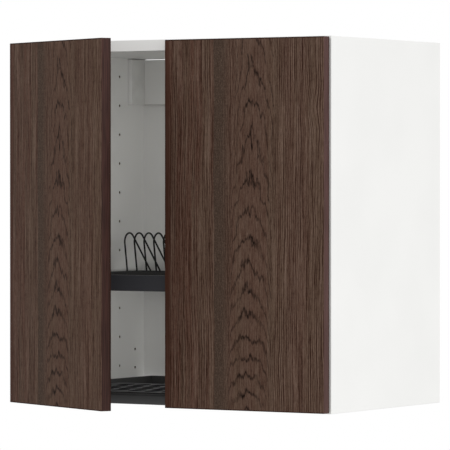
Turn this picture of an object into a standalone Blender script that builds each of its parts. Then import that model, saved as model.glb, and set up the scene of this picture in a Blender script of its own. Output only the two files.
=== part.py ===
"""Kitchen wall cabinet: open-bottomed carcass, two overlay doors on concealed hinges, built-in dish drainer.

Metres. X runs to the right as seen from the front, Y towards the wall, Z up.
The origin is the middle of the top panel's rear edge, on the wall.
"""
import math

import bmesh
import bpy
from mathutils import Matrix, Vector

# Carcass
WIDTH = 0.600
HEIGHT = 0.600
DEPTH = 0.366
BOARD = 0.018
BOARD_EASE = 0.0004
CLEARANCE = 0.0003
OVERRUN = 0.002

# Back panel, and the rail above it
BACK_THICK = 0.003
BACK_SETBACK = 0.003
GROOVE_DEPTH = 0.008
RAIL_THICK = 0.016
RAIL_HEIGHT = 0.0785
RAIL_SLIT = 0.0015
RAIL_GROOVE_DEPTH = 0.005

# Rows of holes in the side panels
HOLE_RADIUS = 0.0025
HOLE_DEPTH = 0.012
HOLE_PITCH = 0.050
FRONT_ROW = 0.037
REAR_ROW = 0.2818
SERVICE_ROW = 0.3311
SERVICE_HEIGHT = 0.045
SERVICE_PITCH = 0.032
HOLE_SIDES = 8

# Hanging brackets in the upper rear corners, under their caps
COVER_THICK = 0.0042
COVER_WIDTH = 0.0287
COVER_HEIGHT = 0.0785
COVER_WALL = 0.0012
BRACKET_THICK = 0.0015
BRACKET_MARGIN = 0.003
BRACKET_TONGUE = 0.024
HOOK_NOTCH_HEIGHT = 0.010
HOOK_NOTCH_WIDTH = 0.006
HOOK_LIP = 0.004
WALL_STANDOFF = 0.001

# Doors
DOOR_THICK = 0.018
DOOR_GAP = 0.003
REVEAL = 0.0015
MEETING_GAP = 0.003
DOOR_EASE = 0.0008
LEFT_DOOR_SWING = 25.9
RIGHT_DOOR_SWING = 0.0
BUMPER_RADIUS = 0.004
BUMPER_THICK = 0.0024
BUMPER_INSET = 0.015

# Concealed hinges: places are measured from the side panel's outer face and the carcass's front edge
HINGE_FROM_END = 0.100
ARM_PIN_IN = 0.0327
ARM_PIN_OUT = 0.0084
CUP_PIN_IN = 0.0133
CUP_PIN_OUT = 0.0055
LINK_TURN_RATIO = -0.64
PIN_RADIUS = 0.0012
PIN_PLAY = 0.0001
EYE_RADIUS = 0.0025
LINK_HALF_THICK = 0.0012
LINK_HALF_HEIGHT = 0.0033
ARM_HALF_HEIGHT = 0.0052
ARM_WEB = 0.0014
ARM_REACH = 0.062
ARM_SHOULDER = 0.004
CUP_RADIUS = 0.0175
CUP_FROM_DOOR_EDGE = 0.021
CUP_DEPTH = 0.0114
CUP_WALL = 0.0007
FLANGE_THICK = 0.0007
FLANGE_HALF_WIDTH = 0.019
FLANGE_HALF_HEIGHT = 0.031
FLANGE_EAR_HALF_WIDTH = 0.008
PLATE_THICK = 0.0020
PLATE_HALF_HEIGHT = 0.024
PLATE_WING_HALF = 0.0085
PLATE_NOSE = 0.010
PLATE_TAIL = 0.023
PLATE_RIB_HEIGHT = 0.008
SCREW_PITCH = 0.032
SCREW_HEAD_RADIUS = 0.0045
SCREW_HEAD_HEIGHT = 0.0012

# Upper drainer frame
RACK_LEVEL = 0.1895
RACK_FRAME_HEIGHT = 0.026
FRAME_SETBACK = 0.001
RAIL_FLOOR_DEPTH = 0.030
RAIL_LIP_DEPTH = 0.012
RAIL_SKIN = 0.0018
REAR_RAIL_DEPTH = 0.024
REAR_RAIL_BACK = 0.350
END_BRACKET_SKIN = 0.003
LEDGE_WIDTH = 0.014
LEDGE_RISE = 0.0175
LEDGE_THICK = 0.0025
STUD_RADIUS = 0.0022
STUD_LENGTH = 0.010
STUD_LEVEL = 0.200

# Wire plate rack
SIDE_WIRE_RADIUS = 0.0029
ROD_RADIUS = 0.0025
WIRE_RADIUS = 0.0015
WELD = 0.0005
HOOP_PITCH = 0.0197
HOOP_END_MARGIN = 0.020
FRONT_ROD = 0.038
WIRE_OVERHANG = 0.003
HOOP_TOP = 0.2820
HOOP_NOSE = 0.2575
HOOP_BEND_RADIUS = 0.0150
NEAR_LEG_LEAN = 9.5
FAR_LEG_LEAN = 42.5
FOOT_BEND_RADIUS = 0.006
WIRE_SIDES = 5
ROD_SIDES = 8

# Lower drip tray, its ledges and the grid that lies in it
TRAY_BOTTOM = 0.0043
TRAY_FRONT_TOP = 0.0228
TRAY_RIM_TOP = 0.0306
TRAY_FLANGE_TOP = 0.0225
TRAY_SKIN = 0.0020
TRAY_FLANGE_THICK = 0.0025
TRAY_REAR = 0.3485
TRAY_CORNER = 0.004
TRAY_RIB_HEIGHT = 0.004
TRAY_RIB_THICK = 0.002
TRAY_BRACKET_WIDTH = 0.0220
TRAY_BRACKET_SKIN = 0.0020
TRAY_BRACKET_HEIGHT = 0.011
TRAY_BRACKET_START = 0.020
TRAY_BRACKET_END = 0.340
GRID_TOP = 0.0238
GRID_REAR = 0.2380
GRID_THICK = 0.0022
GRID_MARGIN = 0.0012
GRID_BORDER = 0.012
GRID_SKIRT = 0.0020
LENS_PITCH = 0.0325
LENS_ROW_PITCH = 0.047
LENS_HALF_WIDTH = 0.0095
LENS_HALF_LENGTH = 0.0270
LENS_SHOULDER_SHARE = 0.40

# Derived places
HALF_WIDTH = WIDTH / 2
FRONT = -DEPTH
TOP = BOARD / 2
BOTTOM = TOP - HEIGHT
INNER = BOARD + CLEARANCE
DOOR_WIDTH = (WIDTH - 2 * REVEAL - MEETING_GAP) / 2
DOOR_BACK = FRONT - DOOR_GAP
DOOR_FRONT = DOOR_BACK - DOOR_THICK
HINGE_LEVELS = {"lower": HINGE_FROM_END, "upper": HEIGHT - HINGE_FROM_END}
SIDES = {"left": -1, "right": 1}
SWING = {"left": LEFT_DOOR_SWING, "right": RIGHT_DOOR_SWING}

# Facets of round pieces, and steps of arcs
CUP_SIDES = 24
BUMPER_SIDES = 12
PIN_SIDES = 8
EYE_SIDES = 10
SCREW_SIDES = 10
STUD_SIDES = 8
FLANGE_STEPS = 8
EAR_STEPS = 6
EYE_STEPS = 10
NOSE_STEPS = 5
HOOP_STEPS = 7
SMOOTH_ANGLE = 35

# Finishes: colour, roughness, metallic
FINISHES = {
    "white_board": ((0.87, 0.87, 0.85, 1.0), 0.45, 0.0),
    "white_plastic": ((0.80, 0.80, 0.78, 1.0), 0.40, 0.0),
    "hardboard": ((0.84, 0.84, 0.82, 1.0), 0.55, 0.0),
    "brown_veneer": ((0.085, 0.048, 0.036, 1.0), 0.45, 0.0),
    "hinge_steel": ((0.62, 0.61, 0.58, 1.0), 0.30, 1.0),
    "bracket_steel": ((0.55, 0.55, 0.55, 1.0), 0.40, 1.0),
    "clear_pad": ((0.75, 0.75, 0.72, 1.0), 0.35, 0.0),
    "anthracite_metal": ((0.060, 0.061, 0.068, 1.0), 0.40, 0.4),
    "anthracite_plastic": ((0.045, 0.045, 0.045, 1.0), 0.50, 0.0),
    "black_wire": ((0.016, 0.016, 0.015, 1.0), 0.35, 0.2),
}

origins = {}


def across(side, inward):
    """X of a place given as its distance in from a side panel's outer face."""
    return SIDES[side] * (HALF_WIDTH - inward)


def back_from_front(distance):
    """Y of a place given as its distance behind the carcass's front edge."""
    return FRONT + distance


def above_bottom(height):
    """Z of a place given as its height over the carcass's lower edge."""
    return BOTTOM + height


def clear_scene():
    for item in list(bpy.data.objects):
        bpy.data.objects.remove(item)


def finish(name):
    """The named material, made on first use."""
    material = bpy.data.materials.get(name)
    if material is None:
        colour, roughness, metallic = FINISHES[name]
        material = bpy.data.materials.new(name)
        material.use_nodes = True
        shader = material.node_tree.nodes["Principled BSDF"]
        shader.inputs["Base Color"].default_value = colour
        shader.inputs["Roughness"].default_value = roughness
        shader.inputs["Metallic"].default_value = metallic
        material.diffuse_color = colour
    return material


def block(shape, low, high):
    """Add a box between two corners."""
    centre = (Vector(low) + Vector(high)) / 2
    size = [abs(b - a) for a, b in zip(low, high)]
    matrix = Matrix.Translation(centre) @ Matrix.Diagonal((*size, 1))
    bmesh.ops.create_cube(shape, size=1, matrix=matrix)
    return shape


def rod(shape, start, end, radius, sides):
    """Add a closed cylinder between two points."""
    start = Vector(start)
    run = Vector(end) - start
    matrix = Matrix.Translation(start + run / 2) @ run.to_track_quat("Z", "Y").to_matrix().to_4x4()
    bmesh.ops.create_cone(
        shape, cap_ends=True, segments=sides, radius1=radius, radius2=radius, depth=run.length, matrix=matrix
    )
    return shape


def prism(shape, outline, low, high, place):
    """Add an outline extruded from low to high; place turns (u, v, w) into a point."""
    lower = [shape.verts.new(place(u, v, low)) for u, v in outline]
    upper = [shape.verts.new(place(u, v, high)) for u, v in outline]
    faces = [shape.faces.new(lower), shape.faces.new(upper)]
    for index in range(len(outline)):
        following = (index + 1) % len(outline)
        faces.append(shape.faces.new((lower[index], lower[following], upper[following], upper[index])))
    bmesh.ops.recalc_face_normals(shape, faces=faces)
    return shape


def along_x(u, v, w):
    return Vector((w, u, v))


def along_y(u, v, w):
    return Vector((u, w, v))


def along_z(u, v, w):
    return Vector((u, v, w))


def mirrored_outline(side, points):
    """Outline points given as inward and backward distances, as X and Y."""
    return [(across(side, inward), back_from_front(behind)) for inward, behind in points]


def arc(centre, radius, first, last, steps):
    """Points on an arc, angles in degrees."""
    points = []
    for step in range(steps + 1):
        angle = math.radians(first + (last - first) * step / steps)
        points.append((centre[0] + radius * math.cos(angle), centre[1] + radius * math.sin(angle)))
    return points


def mesh_from(shape, origin, name):
    bmesh.ops.translate(shape, verts=shape.verts, vec=-Vector(origin))
    mesh = bpy.data.meshes.new(name)
    shape.to_mesh(mesh)
    shape.free()
    return mesh


def piece(name, shape, finish_name, origin=(0, 0, 0), parent=None):
    """Make a named object from a shape drawn in cabinet coordinates, its doors shut."""
    thing = bpy.data.objects.new(name, mesh_from(shape, origin, name))
    bpy.context.scene.collection.objects.link(thing)
    thing.data.materials.append(finish(finish_name))
    origins[name] = Vector(origin)
    if parent is None:
        thing.location = origin
    else:
        thing.parent = parent
    return thing


def smooth(thing):
    thing.data.shade_smooth()
    thing.data.set_sharp_from_angle(angle=math.radians(SMOOTH_ANGLE))
    return thing


def ease(thing, width):
    """Break a board's edges."""
    modifier = thing.modifiers.new("Eased edges", "BEVEL")
    modifier.width = width
    modifier.segments = 1
    modifier.limit_method = "ANGLE"
    return thing


def combine(thing, shape, operation, label):
    """Cut a shape out of a piece, or weld it on. The tool object stays with the piece, hidden."""
    name = f"{thing.name}_{label}"
    tool = bpy.data.objects.new(name, mesh_from(shape, origins[thing.name], name))
    bpy.context.scene.collection.objects.link(tool)
    tool.parent = thing
    tool.hide_render = True
    tool.display_type = "WIRE"
    modifier = thing.modifiers.new(label, "BOOLEAN")
    modifier.operation = operation
    modifier.solver = "EXACT"
    modifier.object = tool
    return thing


def cut(thing, shape, label):
    return combine(thing, shape, "DIFFERENCE", label)


def weld(thing, shape, label):
    return combine(thing, shape, "UNION", label)


def hole_row(shape, side, behind, heights):
    """Add blind holes to a cutter for one side panel."""
    for height in heights:
        z = above_bottom(height)
        y = back_from_front(behind)
        start = (across(side, BOARD + OVERRUN), y, z)
        end = (across(side, BOARD - HOLE_DEPTH), y, z)
        rod(shape, start, end, HOLE_RADIUS, HOLE_SIDES)


def back_groove(low_x, high_x, low_z, high_z):
    """The slot that takes the back panel's edge, with clearance on both its faces."""
    rear = -BACK_SETBACK + CLEARANCE
    front = -BACK_SETBACK - BACK_THICK - CLEARANCE
    return block(bmesh.new(), (low_x, front, low_z), (high_x, rear, high_z))


def make_side_panel(side):
    shape = block(bmesh.new(), (across(side, 0), FRONT, BOTTOM), (across(side, BOARD), 0, TOP))
    panel = ease(piece(f"side_panel_{side}", shape, "white_board"), BOARD_EASE)
    rows = math.floor((HEIGHT - HOLE_PITCH / 2) / HOLE_PITCH)
    heights = [HOLE_PITCH * (index + 1) for index in range(rows)]
    holes = bmesh.new()
    hole_row(holes, side, FRONT_ROW, heights)
    hole_row(holes, side, REAR_ROW, heights)
    hole_row(holes, side, SERVICE_ROW, [SERVICE_HEIGHT, SERVICE_HEIGHT + SERVICE_PITCH])
    cut(panel, holes, "holes")
    floor = across(side, BOARD - GROOVE_DEPTH)
    mouth = across(side, BOARD + OVERRUN)
    rail_foot = TOP - BOARD - RAIL_SLIT - RAIL_HEIGHT
    groove_top = rail_foot + RAIL_GROOVE_DEPTH
    groove = back_groove(min(floor, mouth), max(floor, mouth), BOTTOM - OVERRUN, groove_top)
    return cut(panel, groove, "groove")


def make_top_panel():
    half = HALF_WIDTH - INNER
    shape = block(bmesh.new(), (-half, FRONT, TOP - BOARD), (half, 0, TOP))
    return ease(piece("top_panel", shape, "white_board"), BOARD_EASE)


def make_back():
    half = HALF_WIDTH - BOARD + GROOVE_DEPTH - 2 * CLEARANCE
    rail_top = TOP - BOARD - RAIL_SLIT
    rail_foot = rail_top - RAIL_HEIGHT
    panel_top = rail_foot + RAIL_GROOVE_DEPTH - 2 * CLEARANCE
    rear = -BACK_SETBACK
    panel = block(bmesh.new(), (-half, rear - BACK_THICK, BOTTOM), (half, rear, panel_top))
    piece("back_panel", panel, "hardboard")
    end = HALF_WIDTH - INNER
    rail = piece("back_rail", block(bmesh.new(), (-end, -RAIL_THICK, rail_foot), (end, 0, rail_top)), "white_board")
    ease(rail, BOARD_EASE)
    groove = back_groove(-HALF_WIDTH, HALF_WIDTH, rail_foot - OVERRUN, rail_foot + RAIL_GROOVE_DEPTH)
    cut(rail, groove, "groove")
    middle = rail_foot + RAIL_HEIGHT / 2
    half_slot = BRACKET_TONGUE / 2 + CLEARANCE
    slots = bmesh.new()
    for side in SIDES:
        outer = across(side, BOARD - OVERRUN)
        inner = across(side, INNER + BRACKET_THICK + CLEARANCE)
        low = (min(outer, inner), -RAIL_THICK - OVERRUN, middle - half_slot)
        block(slots, low, (max(outer, inner), OVERRUN, middle + half_slot))
    return cut(rail, slots, "tongue_slots")


def make_suspension(side):
    """Steel plate with a hooked tongue through the rail, and the cap that hides it."""
    rail_top = TOP - BOARD - RAIL_SLIT
    middle = rail_top - RAIL_HEIGHT / 2
    cover_rear = -RAIL_THICK - CLEARANCE
    cover_front = cover_rear - COVER_WIDTH
    half = COVER_HEIGHT / 2
    plate_front = cover_front + BRACKET_MARGIN
    plate_half = half - BRACKET_MARGIN
    tongue_half = BRACKET_TONGUE / 2
    tongue_end = -WALL_STANDOFF
    notch_rear = tongue_end - HOOK_LIP
    notch_front = notch_rear - HOOK_NOTCH_WIDTH
    notch_top = middle - tongue_half + HOOK_NOTCH_HEIGHT
    outline = [
        (plate_front, middle - plate_half),
        (cover_rear, middle - plate_half),
        (cover_rear, middle - tongue_half),
        (notch_front, middle - tongue_half),
        (notch_front, notch_top),
        (notch_rear, notch_top),
        (notch_rear, middle - tongue_half),
        (tongue_end, middle - tongue_half),
        (tongue_end, middle + tongue_half),
        (cover_rear, middle + tongue_half),
        (cover_rear, middle + plate_half),
        (plate_front, middle + plate_half),
    ]
    low = across(side, INNER)
    shape = prism(bmesh.new(), outline, low, across(side, INNER + BRACKET_THICK), along_x)
    piece(f"suspension_bracket_{side}", shape, "bracket_steel")
    outer = across(side, INNER + COVER_THICK)
    shape = block(bmesh.new(), (low, cover_front, middle - half), (outer, cover_rear, middle + half))
    cover = ease(piece(f"bracket_cover_{side}", shape, "white_plastic"), COVER_WALL / 3)
    hollow_low = across(side, INNER - OVERRUN)
    hollow_high = across(side, INNER + COVER_THICK - COVER_WALL)
    corner = (hollow_low, cover_front + COVER_WALL, middle - half + COVER_WALL)
    hollow = block(bmesh.new(), corner, (hollow_high, cover_rear + OVERRUN, middle + half - COVER_WALL))
    return cut(cover, hollow, "hollow")


def arm_pin(side):
    """The pin in the arm's nose, as a point on the link's axis."""
    return Vector((across(side, ARM_PIN_IN), back_from_front(-ARM_PIN_OUT), 0))


def cup_pin(side):
    """The pin in the cup, as a point on the door's axis with the door shut."""
    return Vector((across(side, CUP_PIN_IN), back_from_front(-CUP_PIN_OUT), 0))


def make_axes(side):
    """Empties on the two pins' axes. A door turns one way while its links turn the other way."""
    opening = SIDES[side] * math.radians(SWING[side])
    link_axis = bpy.data.objects.new(f"{side}_link_axis", None)
    link_axis.location = arm_pin(side)
    link_axis.rotation_euler.z = LINK_TURN_RATIO * opening
    door_axis = bpy.data.objects.new(f"{side}_door_axis", None)
    door_axis.parent = link_axis
    door_axis.location = cup_pin(side) - arm_pin(side)
    door_axis.rotation_euler.z = opening - LINK_TURN_RATIO * opening
    for axis in (link_axis, door_axis):
        bpy.context.scene.collection.objects.link(axis)
    return link_axis, door_axis


def make_door(side, axis):
    """Door with its two cup bores."""
    pin = cup_pin(side)
    outer = across(side, REVEAL)
    inner = across(side, REVEAL + DOOR_WIDTH)
    low = (min(outer, inner), DOOR_FRONT, BOTTOM + REVEAL)
    shape = block(bmesh.new(), low, (max(outer, inner), DOOR_BACK, TOP - REVEAL))
    door = ease(piece(f"door_{side}", shape, "brown_veneer", pin, axis), DOOR_EASE)
    bores = bmesh.new()
    x = across(side, REVEAL + CUP_FROM_DOOR_EDGE)
    for level in HINGE_LEVELS.values():
        z = above_bottom(level)
        start = (x, DOOR_BACK - CUP_DEPTH - CLEARANCE, z)
        rod(bores, start, (x, DOOR_BACK + OVERRUN, z), CUP_RADIUS + CLEARANCE, CUP_SIDES)
    return cut(door, bores, "cup_bores")


def make_bumpers(side, axis):
    """Soft pads at the door's free edge, in line with the top panel and with the tray's front."""
    x = across(side, REVEAL + DOOR_WIDTH - BUMPER_INSET)
    levels = {"upper": TOP - BOARD / 2, "lower": above_bottom((TRAY_BOTTOM + TRAY_FRONT_TOP) / 2)}
    for label, z in levels.items():
        start = (x, DOOR_BACK + CLEARANCE, z)
        end = (x, DOOR_BACK + CLEARANCE + BUMPER_THICK, z)
        shape = rod(bmesh.new(), start, end, BUMPER_RADIUS, BUMPER_SIDES)
        smooth(piece(f"door_bumper_{side}_{label}", shape, "clear_pad", cup_pin(side), axis))


def make_hinge_cup(side, label, axis):
    """Pressed cup with its screw flange and the pin riveted across it."""
    x = across(side, REVEAL + CUP_FROM_DOOR_EDGE)
    z = above_bottom(HINGE_LEVELS[label])
    seat = DOOR_BACK + CLEARANCE
    top = seat + FLANGE_THICK
    outline = flange_outline(x, z)
    shape = prism(bmesh.new(), outline, seat, top, along_y)
    cup = smooth(piece(f"hinge_cup_{side}_{label}", shape, "hinge_steel", cup_pin(side), axis))
    floor = DOOR_BACK - CUP_DEPTH
    body = rod(bmesh.new(), (x, floor, z), (x, (seat + top) / 2, z), CUP_RADIUS, CUP_SIDES)
    weld(cup, body, "body")
    bore = CUP_RADIUS - CUP_WALL
    hollow = rod(bmesh.new(), (x, floor + CUP_WALL, z), (x, top + OVERRUN, z), bore, CUP_SIDES)
    cut(cup, hollow, "hollow")
    pin = cup_pin(side)
    offset = abs(pin.x - x)
    half = math.sqrt((CUP_RADIUS - CUP_WALL / 2) ** 2 - offset ** 2) - PIN_RADIUS / 2
    rivet = rod(bmesh.new(), (pin.x, pin.y, z - half), (pin.x, pin.y, z + half), PIN_RADIUS, PIN_SIDES)
    return weld(cup, rivet, "pin")


def flange_outline(x, z):
    """A round flange with an ear above and below for the two screws."""
    ear = FLANGE_EAR_HALF_WIDTH
    reach = math.degrees(math.acos(ear / FLANGE_HALF_WIDTH))
    points = arc((x, z), FLANGE_HALF_WIDTH, -reach, reach, FLANGE_STEPS)
    points += arc((x, z + FLANGE_HALF_HEIGHT - ear), ear, 0, 180, EAR_STEPS)
    points += arc((x, z), FLANGE_HALF_WIDTH, 180 - reach, 180 + reach, FLANGE_STEPS)
    points += arc((x, z - FLANGE_HALF_HEIGHT + ear), ear, 180, 360, EAR_STEPS)
    return points


def make_hinge_link(side, label, axis):
    """Link with an eye at each end, one on the arm's pin and one on the cup's pin."""
    z = above_bottom(HINGE_LEVELS[label])
    first = arm_pin(side)
    second = cup_pin(side)
    heading = math.degrees(math.atan2(second.y - first.y, second.x - first.x))
    meet = math.degrees(math.asin(LINK_HALF_THICK / EYE_RADIUS))
    outline = arc(first.xy, EYE_RADIUS, heading + meet, heading + 360 - meet, EYE_STEPS)
    outline += arc(second.xy, EYE_RADIUS, heading - 180 + meet, heading + 180 - meet, EYE_STEPS)
    shape = prism(bmesh.new(), outline, z - LINK_HALF_HEIGHT, z + LINK_HALF_HEIGHT, along_z)
    link = smooth(piece(f"hinge_link_{side}_{label}", shape, "hinge_steel", first, axis))
    bores = bmesh.new()
    reach = LINK_HALF_HEIGHT + OVERRUN
    for pin in (first, second):
        rod(bores, (pin.x, pin.y, z - reach), (pin.x, pin.y, z + reach), PIN_RADIUS + PIN_PLAY, EYE_SIDES)
    return cut(link, bores, "eyes")


def make_hinge_arm(side, label):
    """Channel-shaped arm: two cheeks and a web, with the nose pin riveted between the cheeks."""
    z = above_bottom(HINGE_LEVELS[label])
    nose = EYE_RADIUS + CLEARANCE / 2
    foot = INNER + PLATE_THICK + CLEARANCE
    web_in = ARM_PIN_IN + EYE_RADIUS + CLEARANCE
    outer = web_in + ARM_WEB
    round_nose = arc((ARM_PIN_IN, -ARM_PIN_OUT), nose, 180, 300, NOSE_STEPS)
    points = round_nose + [
        (outer, -ARM_PIN_OUT),
        (outer, ARM_REACH - ARM_WEB),
        (outer - ARM_WEB, ARM_REACH),
        (foot, ARM_REACH),
        (foot, 2 * ARM_SHOULDER),
        (ARM_PIN_IN - nose, ARM_SHOULDER),
    ]
    outline = mirrored_outline(side, points)
    shape = prism(bmesh.new(), outline, z - ARM_HALF_HEIGHT, z + ARM_HALF_HEIGHT, along_z)
    arm = smooth(piece(f"hinge_arm_{side}_{label}", shape, "hinge_steel"))
    gap = LINK_HALF_HEIGHT + CLEARANCE
    far = across(side, web_in)
    near = across(side, INNER)
    front = back_from_front(-ARM_PIN_OUT - nose - OVERRUN)
    rear = back_from_front(ARM_REACH + OVERRUN)
    channel = block(bmesh.new(), (min(near, far), front, z - gap), (max(near, far), rear, z + gap))
    cut(arm, channel, "channel")
    pin = arm_pin(side)
    half = ARM_HALF_HEIGHT - CLEARANCE
    rivet = rod(bmesh.new(), (pin.x, pin.y, z - half), (pin.x, pin.y, z + half), PIN_RADIUS, PIN_SIDES)
    return weld(arm, rivet, "pin")


def make_hinge_plate(side, label):
    """Winged mounting plate on the side panel, with the rib that the arm straddles and two screw heads."""
    z = above_bottom(HINGE_LEVELS[label])
    y = back_from_front(FRONT_ROW)
    wing = PLATE_WING_HALF
    body = LINK_HALF_HEIGHT + 2 * CLEARANCE + (ARM_HALF_HEIGHT - LINK_HALF_HEIGHT) * 2
    outline = [
        (y - PLATE_NOSE - wing, z - body),
        (y - wing, z - body),
        (y - wing, z - PLATE_HALF_HEIGHT + wing),
        (y, z - PLATE_HALF_HEIGHT),
        (y + wing, z - PLATE_HALF_HEIGHT + wing),
        (y + wing, z - body),
        (y + PLATE_TAIL, z - body),
        (y + PLATE_TAIL, z + body),
        (y + wing, z + body),
        (y + wing, z + PLATE_HALF_HEIGHT - wing),
        (y, z + PLATE_HALF_HEIGHT),
        (y - wing, z + PLATE_HALF_HEIGHT - wing),
        (y - wing, z + body),
        (y - PLATE_NOSE - wing, z + body),
    ]
    low = across(side, INNER)
    shape = prism(bmesh.new(), outline, low, across(side, INNER + PLATE_THICK), along_x)
    plate = piece(f"hinge_plate_{side}_{label}", shape, "hinge_steel")
    rib_half = LINK_HALF_HEIGHT - CLEARANCE
    inner = across(side, INNER + PLATE_THICK / 2)
    outer = across(side, INNER + PLATE_THICK + PLATE_RIB_HEIGHT)
    rib = block(
        bmesh.new(),
        (min(inner, outer), y - wing, z - rib_half),
        (max(inner, outer), y + PLATE_TAIL - wing / 2, z + rib_half),
    )
    weld(plate, rib, "rib")
    heads = bmesh.new()
    crown = across(side, INNER + PLATE_THICK + SCREW_HEAD_HEIGHT)
    for offset in (-SCREW_PITCH / 2, SCREW_PITCH / 2):
        rod(heads, (inner, y, z + offset), (crown, y, z + offset), SCREW_HEAD_RADIUS, SCREW_SIDES)
    return weld(plate, heads, "screw_heads")


def channel_outline(front, depth, low, high, lip, open_to_rear):
    """Section of a frame rail: front wall, floor and top lip, open behind or in front."""
    sense = 1 if open_to_rear else -1
    return [
        (front, low),
        (front + sense * depth, low),
        (front + sense * depth, low + RAIL_SKIN),
        (front + sense * RAIL_SKIN, low + RAIL_SKIN),
        (front + sense * RAIL_SKIN, high - RAIL_SKIN),
        (front + sense * lip, high - RAIL_SKIN),
        (front + sense * lip, high),
        (front, high),
    ]


def make_rack_frame():
    """Two rails between two end brackets. The brackets' studs sit in the side panels' holes."""
    low = above_bottom(RACK_LEVEL)
    high = low + RACK_FRAME_HEIGHT
    end = HALF_WIDTH - INNER - END_BRACKET_SKIN - CLEARANCE
    front = back_from_front(FRAME_SETBACK)
    outline = channel_outline(front, RAIL_FLOOR_DEPTH, low, high, RAIL_LIP_DEPTH, True)
    piece("rack_front_rail", prism(bmesh.new(), outline, -end, end, along_x), "anthracite_metal")
    rear = back_from_front(REAR_RAIL_BACK)
    outline = channel_outline(rear, REAR_RAIL_DEPTH, low, high - RAIL_SKIN, RAIL_LIP_DEPTH, False)
    piece("rack_rear_rail", prism(bmesh.new(), outline, -end, end, along_x), "anthracite_metal")
    for side in SIDES:
        make_rack_bracket(side, low, high)


def make_rack_bracket(side, low, high):
    wall_low = across(side, INNER)
    wall_high = across(side, INNER + END_BRACKET_SKIN)
    front = back_from_front(FRAME_SETBACK)
    rear = back_from_front(REAR_RAIL_BACK)
    wall = block(bmesh.new(), (wall_low, front, low), (wall_high, rear, high - RAIL_SKIN))
    bracket = piece(f"rack_bracket_{side}", wall, "anthracite_plastic")
    ledge_low = across(side, INNER + END_BRACKET_SKIN / 2)
    ledge_high = across(side, INNER + END_BRACKET_SKIN + LEDGE_WIDTH)
    ledge_front = front + RAIL_FLOOR_DEPTH + CLEARANCE
    ledge_rear = rear - REAR_RAIL_DEPTH - CLEARANCE
    top = low + LEDGE_RISE
    ledge = block(
        bmesh.new(),
        (min(ledge_low, ledge_high), ledge_front, top - LEDGE_THICK),
        (max(ledge_low, ledge_high), ledge_rear, top),
    )
    weld(bracket, ledge, "ledge")
    studs = bmesh.new()
    root = across(side, INNER + END_BRACKET_SKIN / 2)
    tip = across(side, INNER - STUD_LENGTH)
    level = above_bottom(STUD_LEVEL)
    for row in (FRONT_ROW, REAR_ROW):
        y = back_from_front(row)
        rod(studs, (root, y, level), (tip, y, level), STUD_RADIUS, STUD_SIDES)
    return weld(bracket, studs, "studs")


def rod_level():
    """Z of the plate rack's rods and side wires, which lie on the brackets' ledges."""
    return above_bottom(RACK_LEVEL + LEDGE_RISE) + CLEARANCE + SIDE_WIRE_RADIUS


def hoop_path():
    """One dividing wire in Y and Z: over the front rod, up, round, and down into the rear rod."""
    level = rod_level() + ROD_RADIUS + WIRE_RADIUS - WELD
    nose_y = back_from_front(HOOP_NOSE)
    bend_z = above_bottom(HOOP_TOP) - WIRE_RADIUS - HOOP_BEND_RADIUS
    near = math.radians(NEAR_LEG_LEAN)
    far = math.radians(FAR_LEG_LEAN)
    points = [(back_from_front(FRONT_ROD - WIRE_OVERHANG), level)]
    near_top = (nose_y - HOOP_BEND_RADIUS * math.cos(near), bend_z - HOOP_BEND_RADIUS * math.sin(near))
    drop = near_top[1] - level
    foot_y = near_top[0] + drop * math.tan(near)
    set_back = FOOT_BEND_RADIUS * math.tan(math.radians(90 - NEAR_LEG_LEAN) / 2)
    points.append((foot_y - set_back, level))
    leg = Vector((near_top[0] - foot_y, near_top[1] - level)).normalized()
    points.append((foot_y + leg.x * set_back, level + leg.y * set_back))
    points += arc((nose_y, bend_z), HOOP_BEND_RADIUS, 180 + NEAR_LEG_LEAN, FAR_LEG_LEAN, HOOP_STEPS)
    far_top = points[-1]
    points.append((far_top[0] + (far_top[1] - rod_level()) * math.tan(far), rod_level()))
    return points


def tube(points, radius, sides, x):
    """A wire along points in the plane at x, as a closed tube with mitred rings."""
    shape = bmesh.new()
    rings = []
    for index, (y, z) in enumerate(points):
        here = Vector((y, z))
        before = (here - Vector(points[index - 1])).normalized() if index else None
        after = (Vector(points[index + 1]) - here).normalized() if index + 1 < len(points) else None
        heading = (before + after).normalized() if before and after else (before or after)
        stretch = 1 / heading.dot(after or before)
        normal = Vector((-heading.y, heading.x))
        ring = []
        for corner in range(sides):
            angle = 2 * math.pi * corner / sides
            out = normal * (radius * math.cos(angle) * stretch)
            ring.append(shape.verts.new((x + radius * math.sin(angle), y + out.x, z + out.y)))
        rings.append(ring)
    for ring, following in zip(rings, rings[1:]):
        for corner in range(sides):
            other = (corner + 1) % sides
            shape.faces.new((ring[corner], ring[other], following[other], following[corner]))
    shape.faces.new(rings[0])
    shape.faces.new(rings[-1])
    bmesh.ops.recalc_face_normals(shape, faces=shape.faces)
    return shape


def rack_edge():
    """X of the plate rack's side wire."""
    return HALF_WIDTH - INNER - END_BRACKET_SKIN - CLEARANCE - SIDE_WIRE_RADIUS - LEDGE_WIDTH / 3


def hoop_places():
    """X of each hoop: as many as fit at their pitch between the rack's side wires."""
    half_count = math.floor((rack_edge() - HOOP_END_MARGIN) / HOOP_PITCH + 1 / 2)
    return [HOOP_PITCH * (index + 1 / 2) for index in range(-half_count, half_count)]


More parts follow.
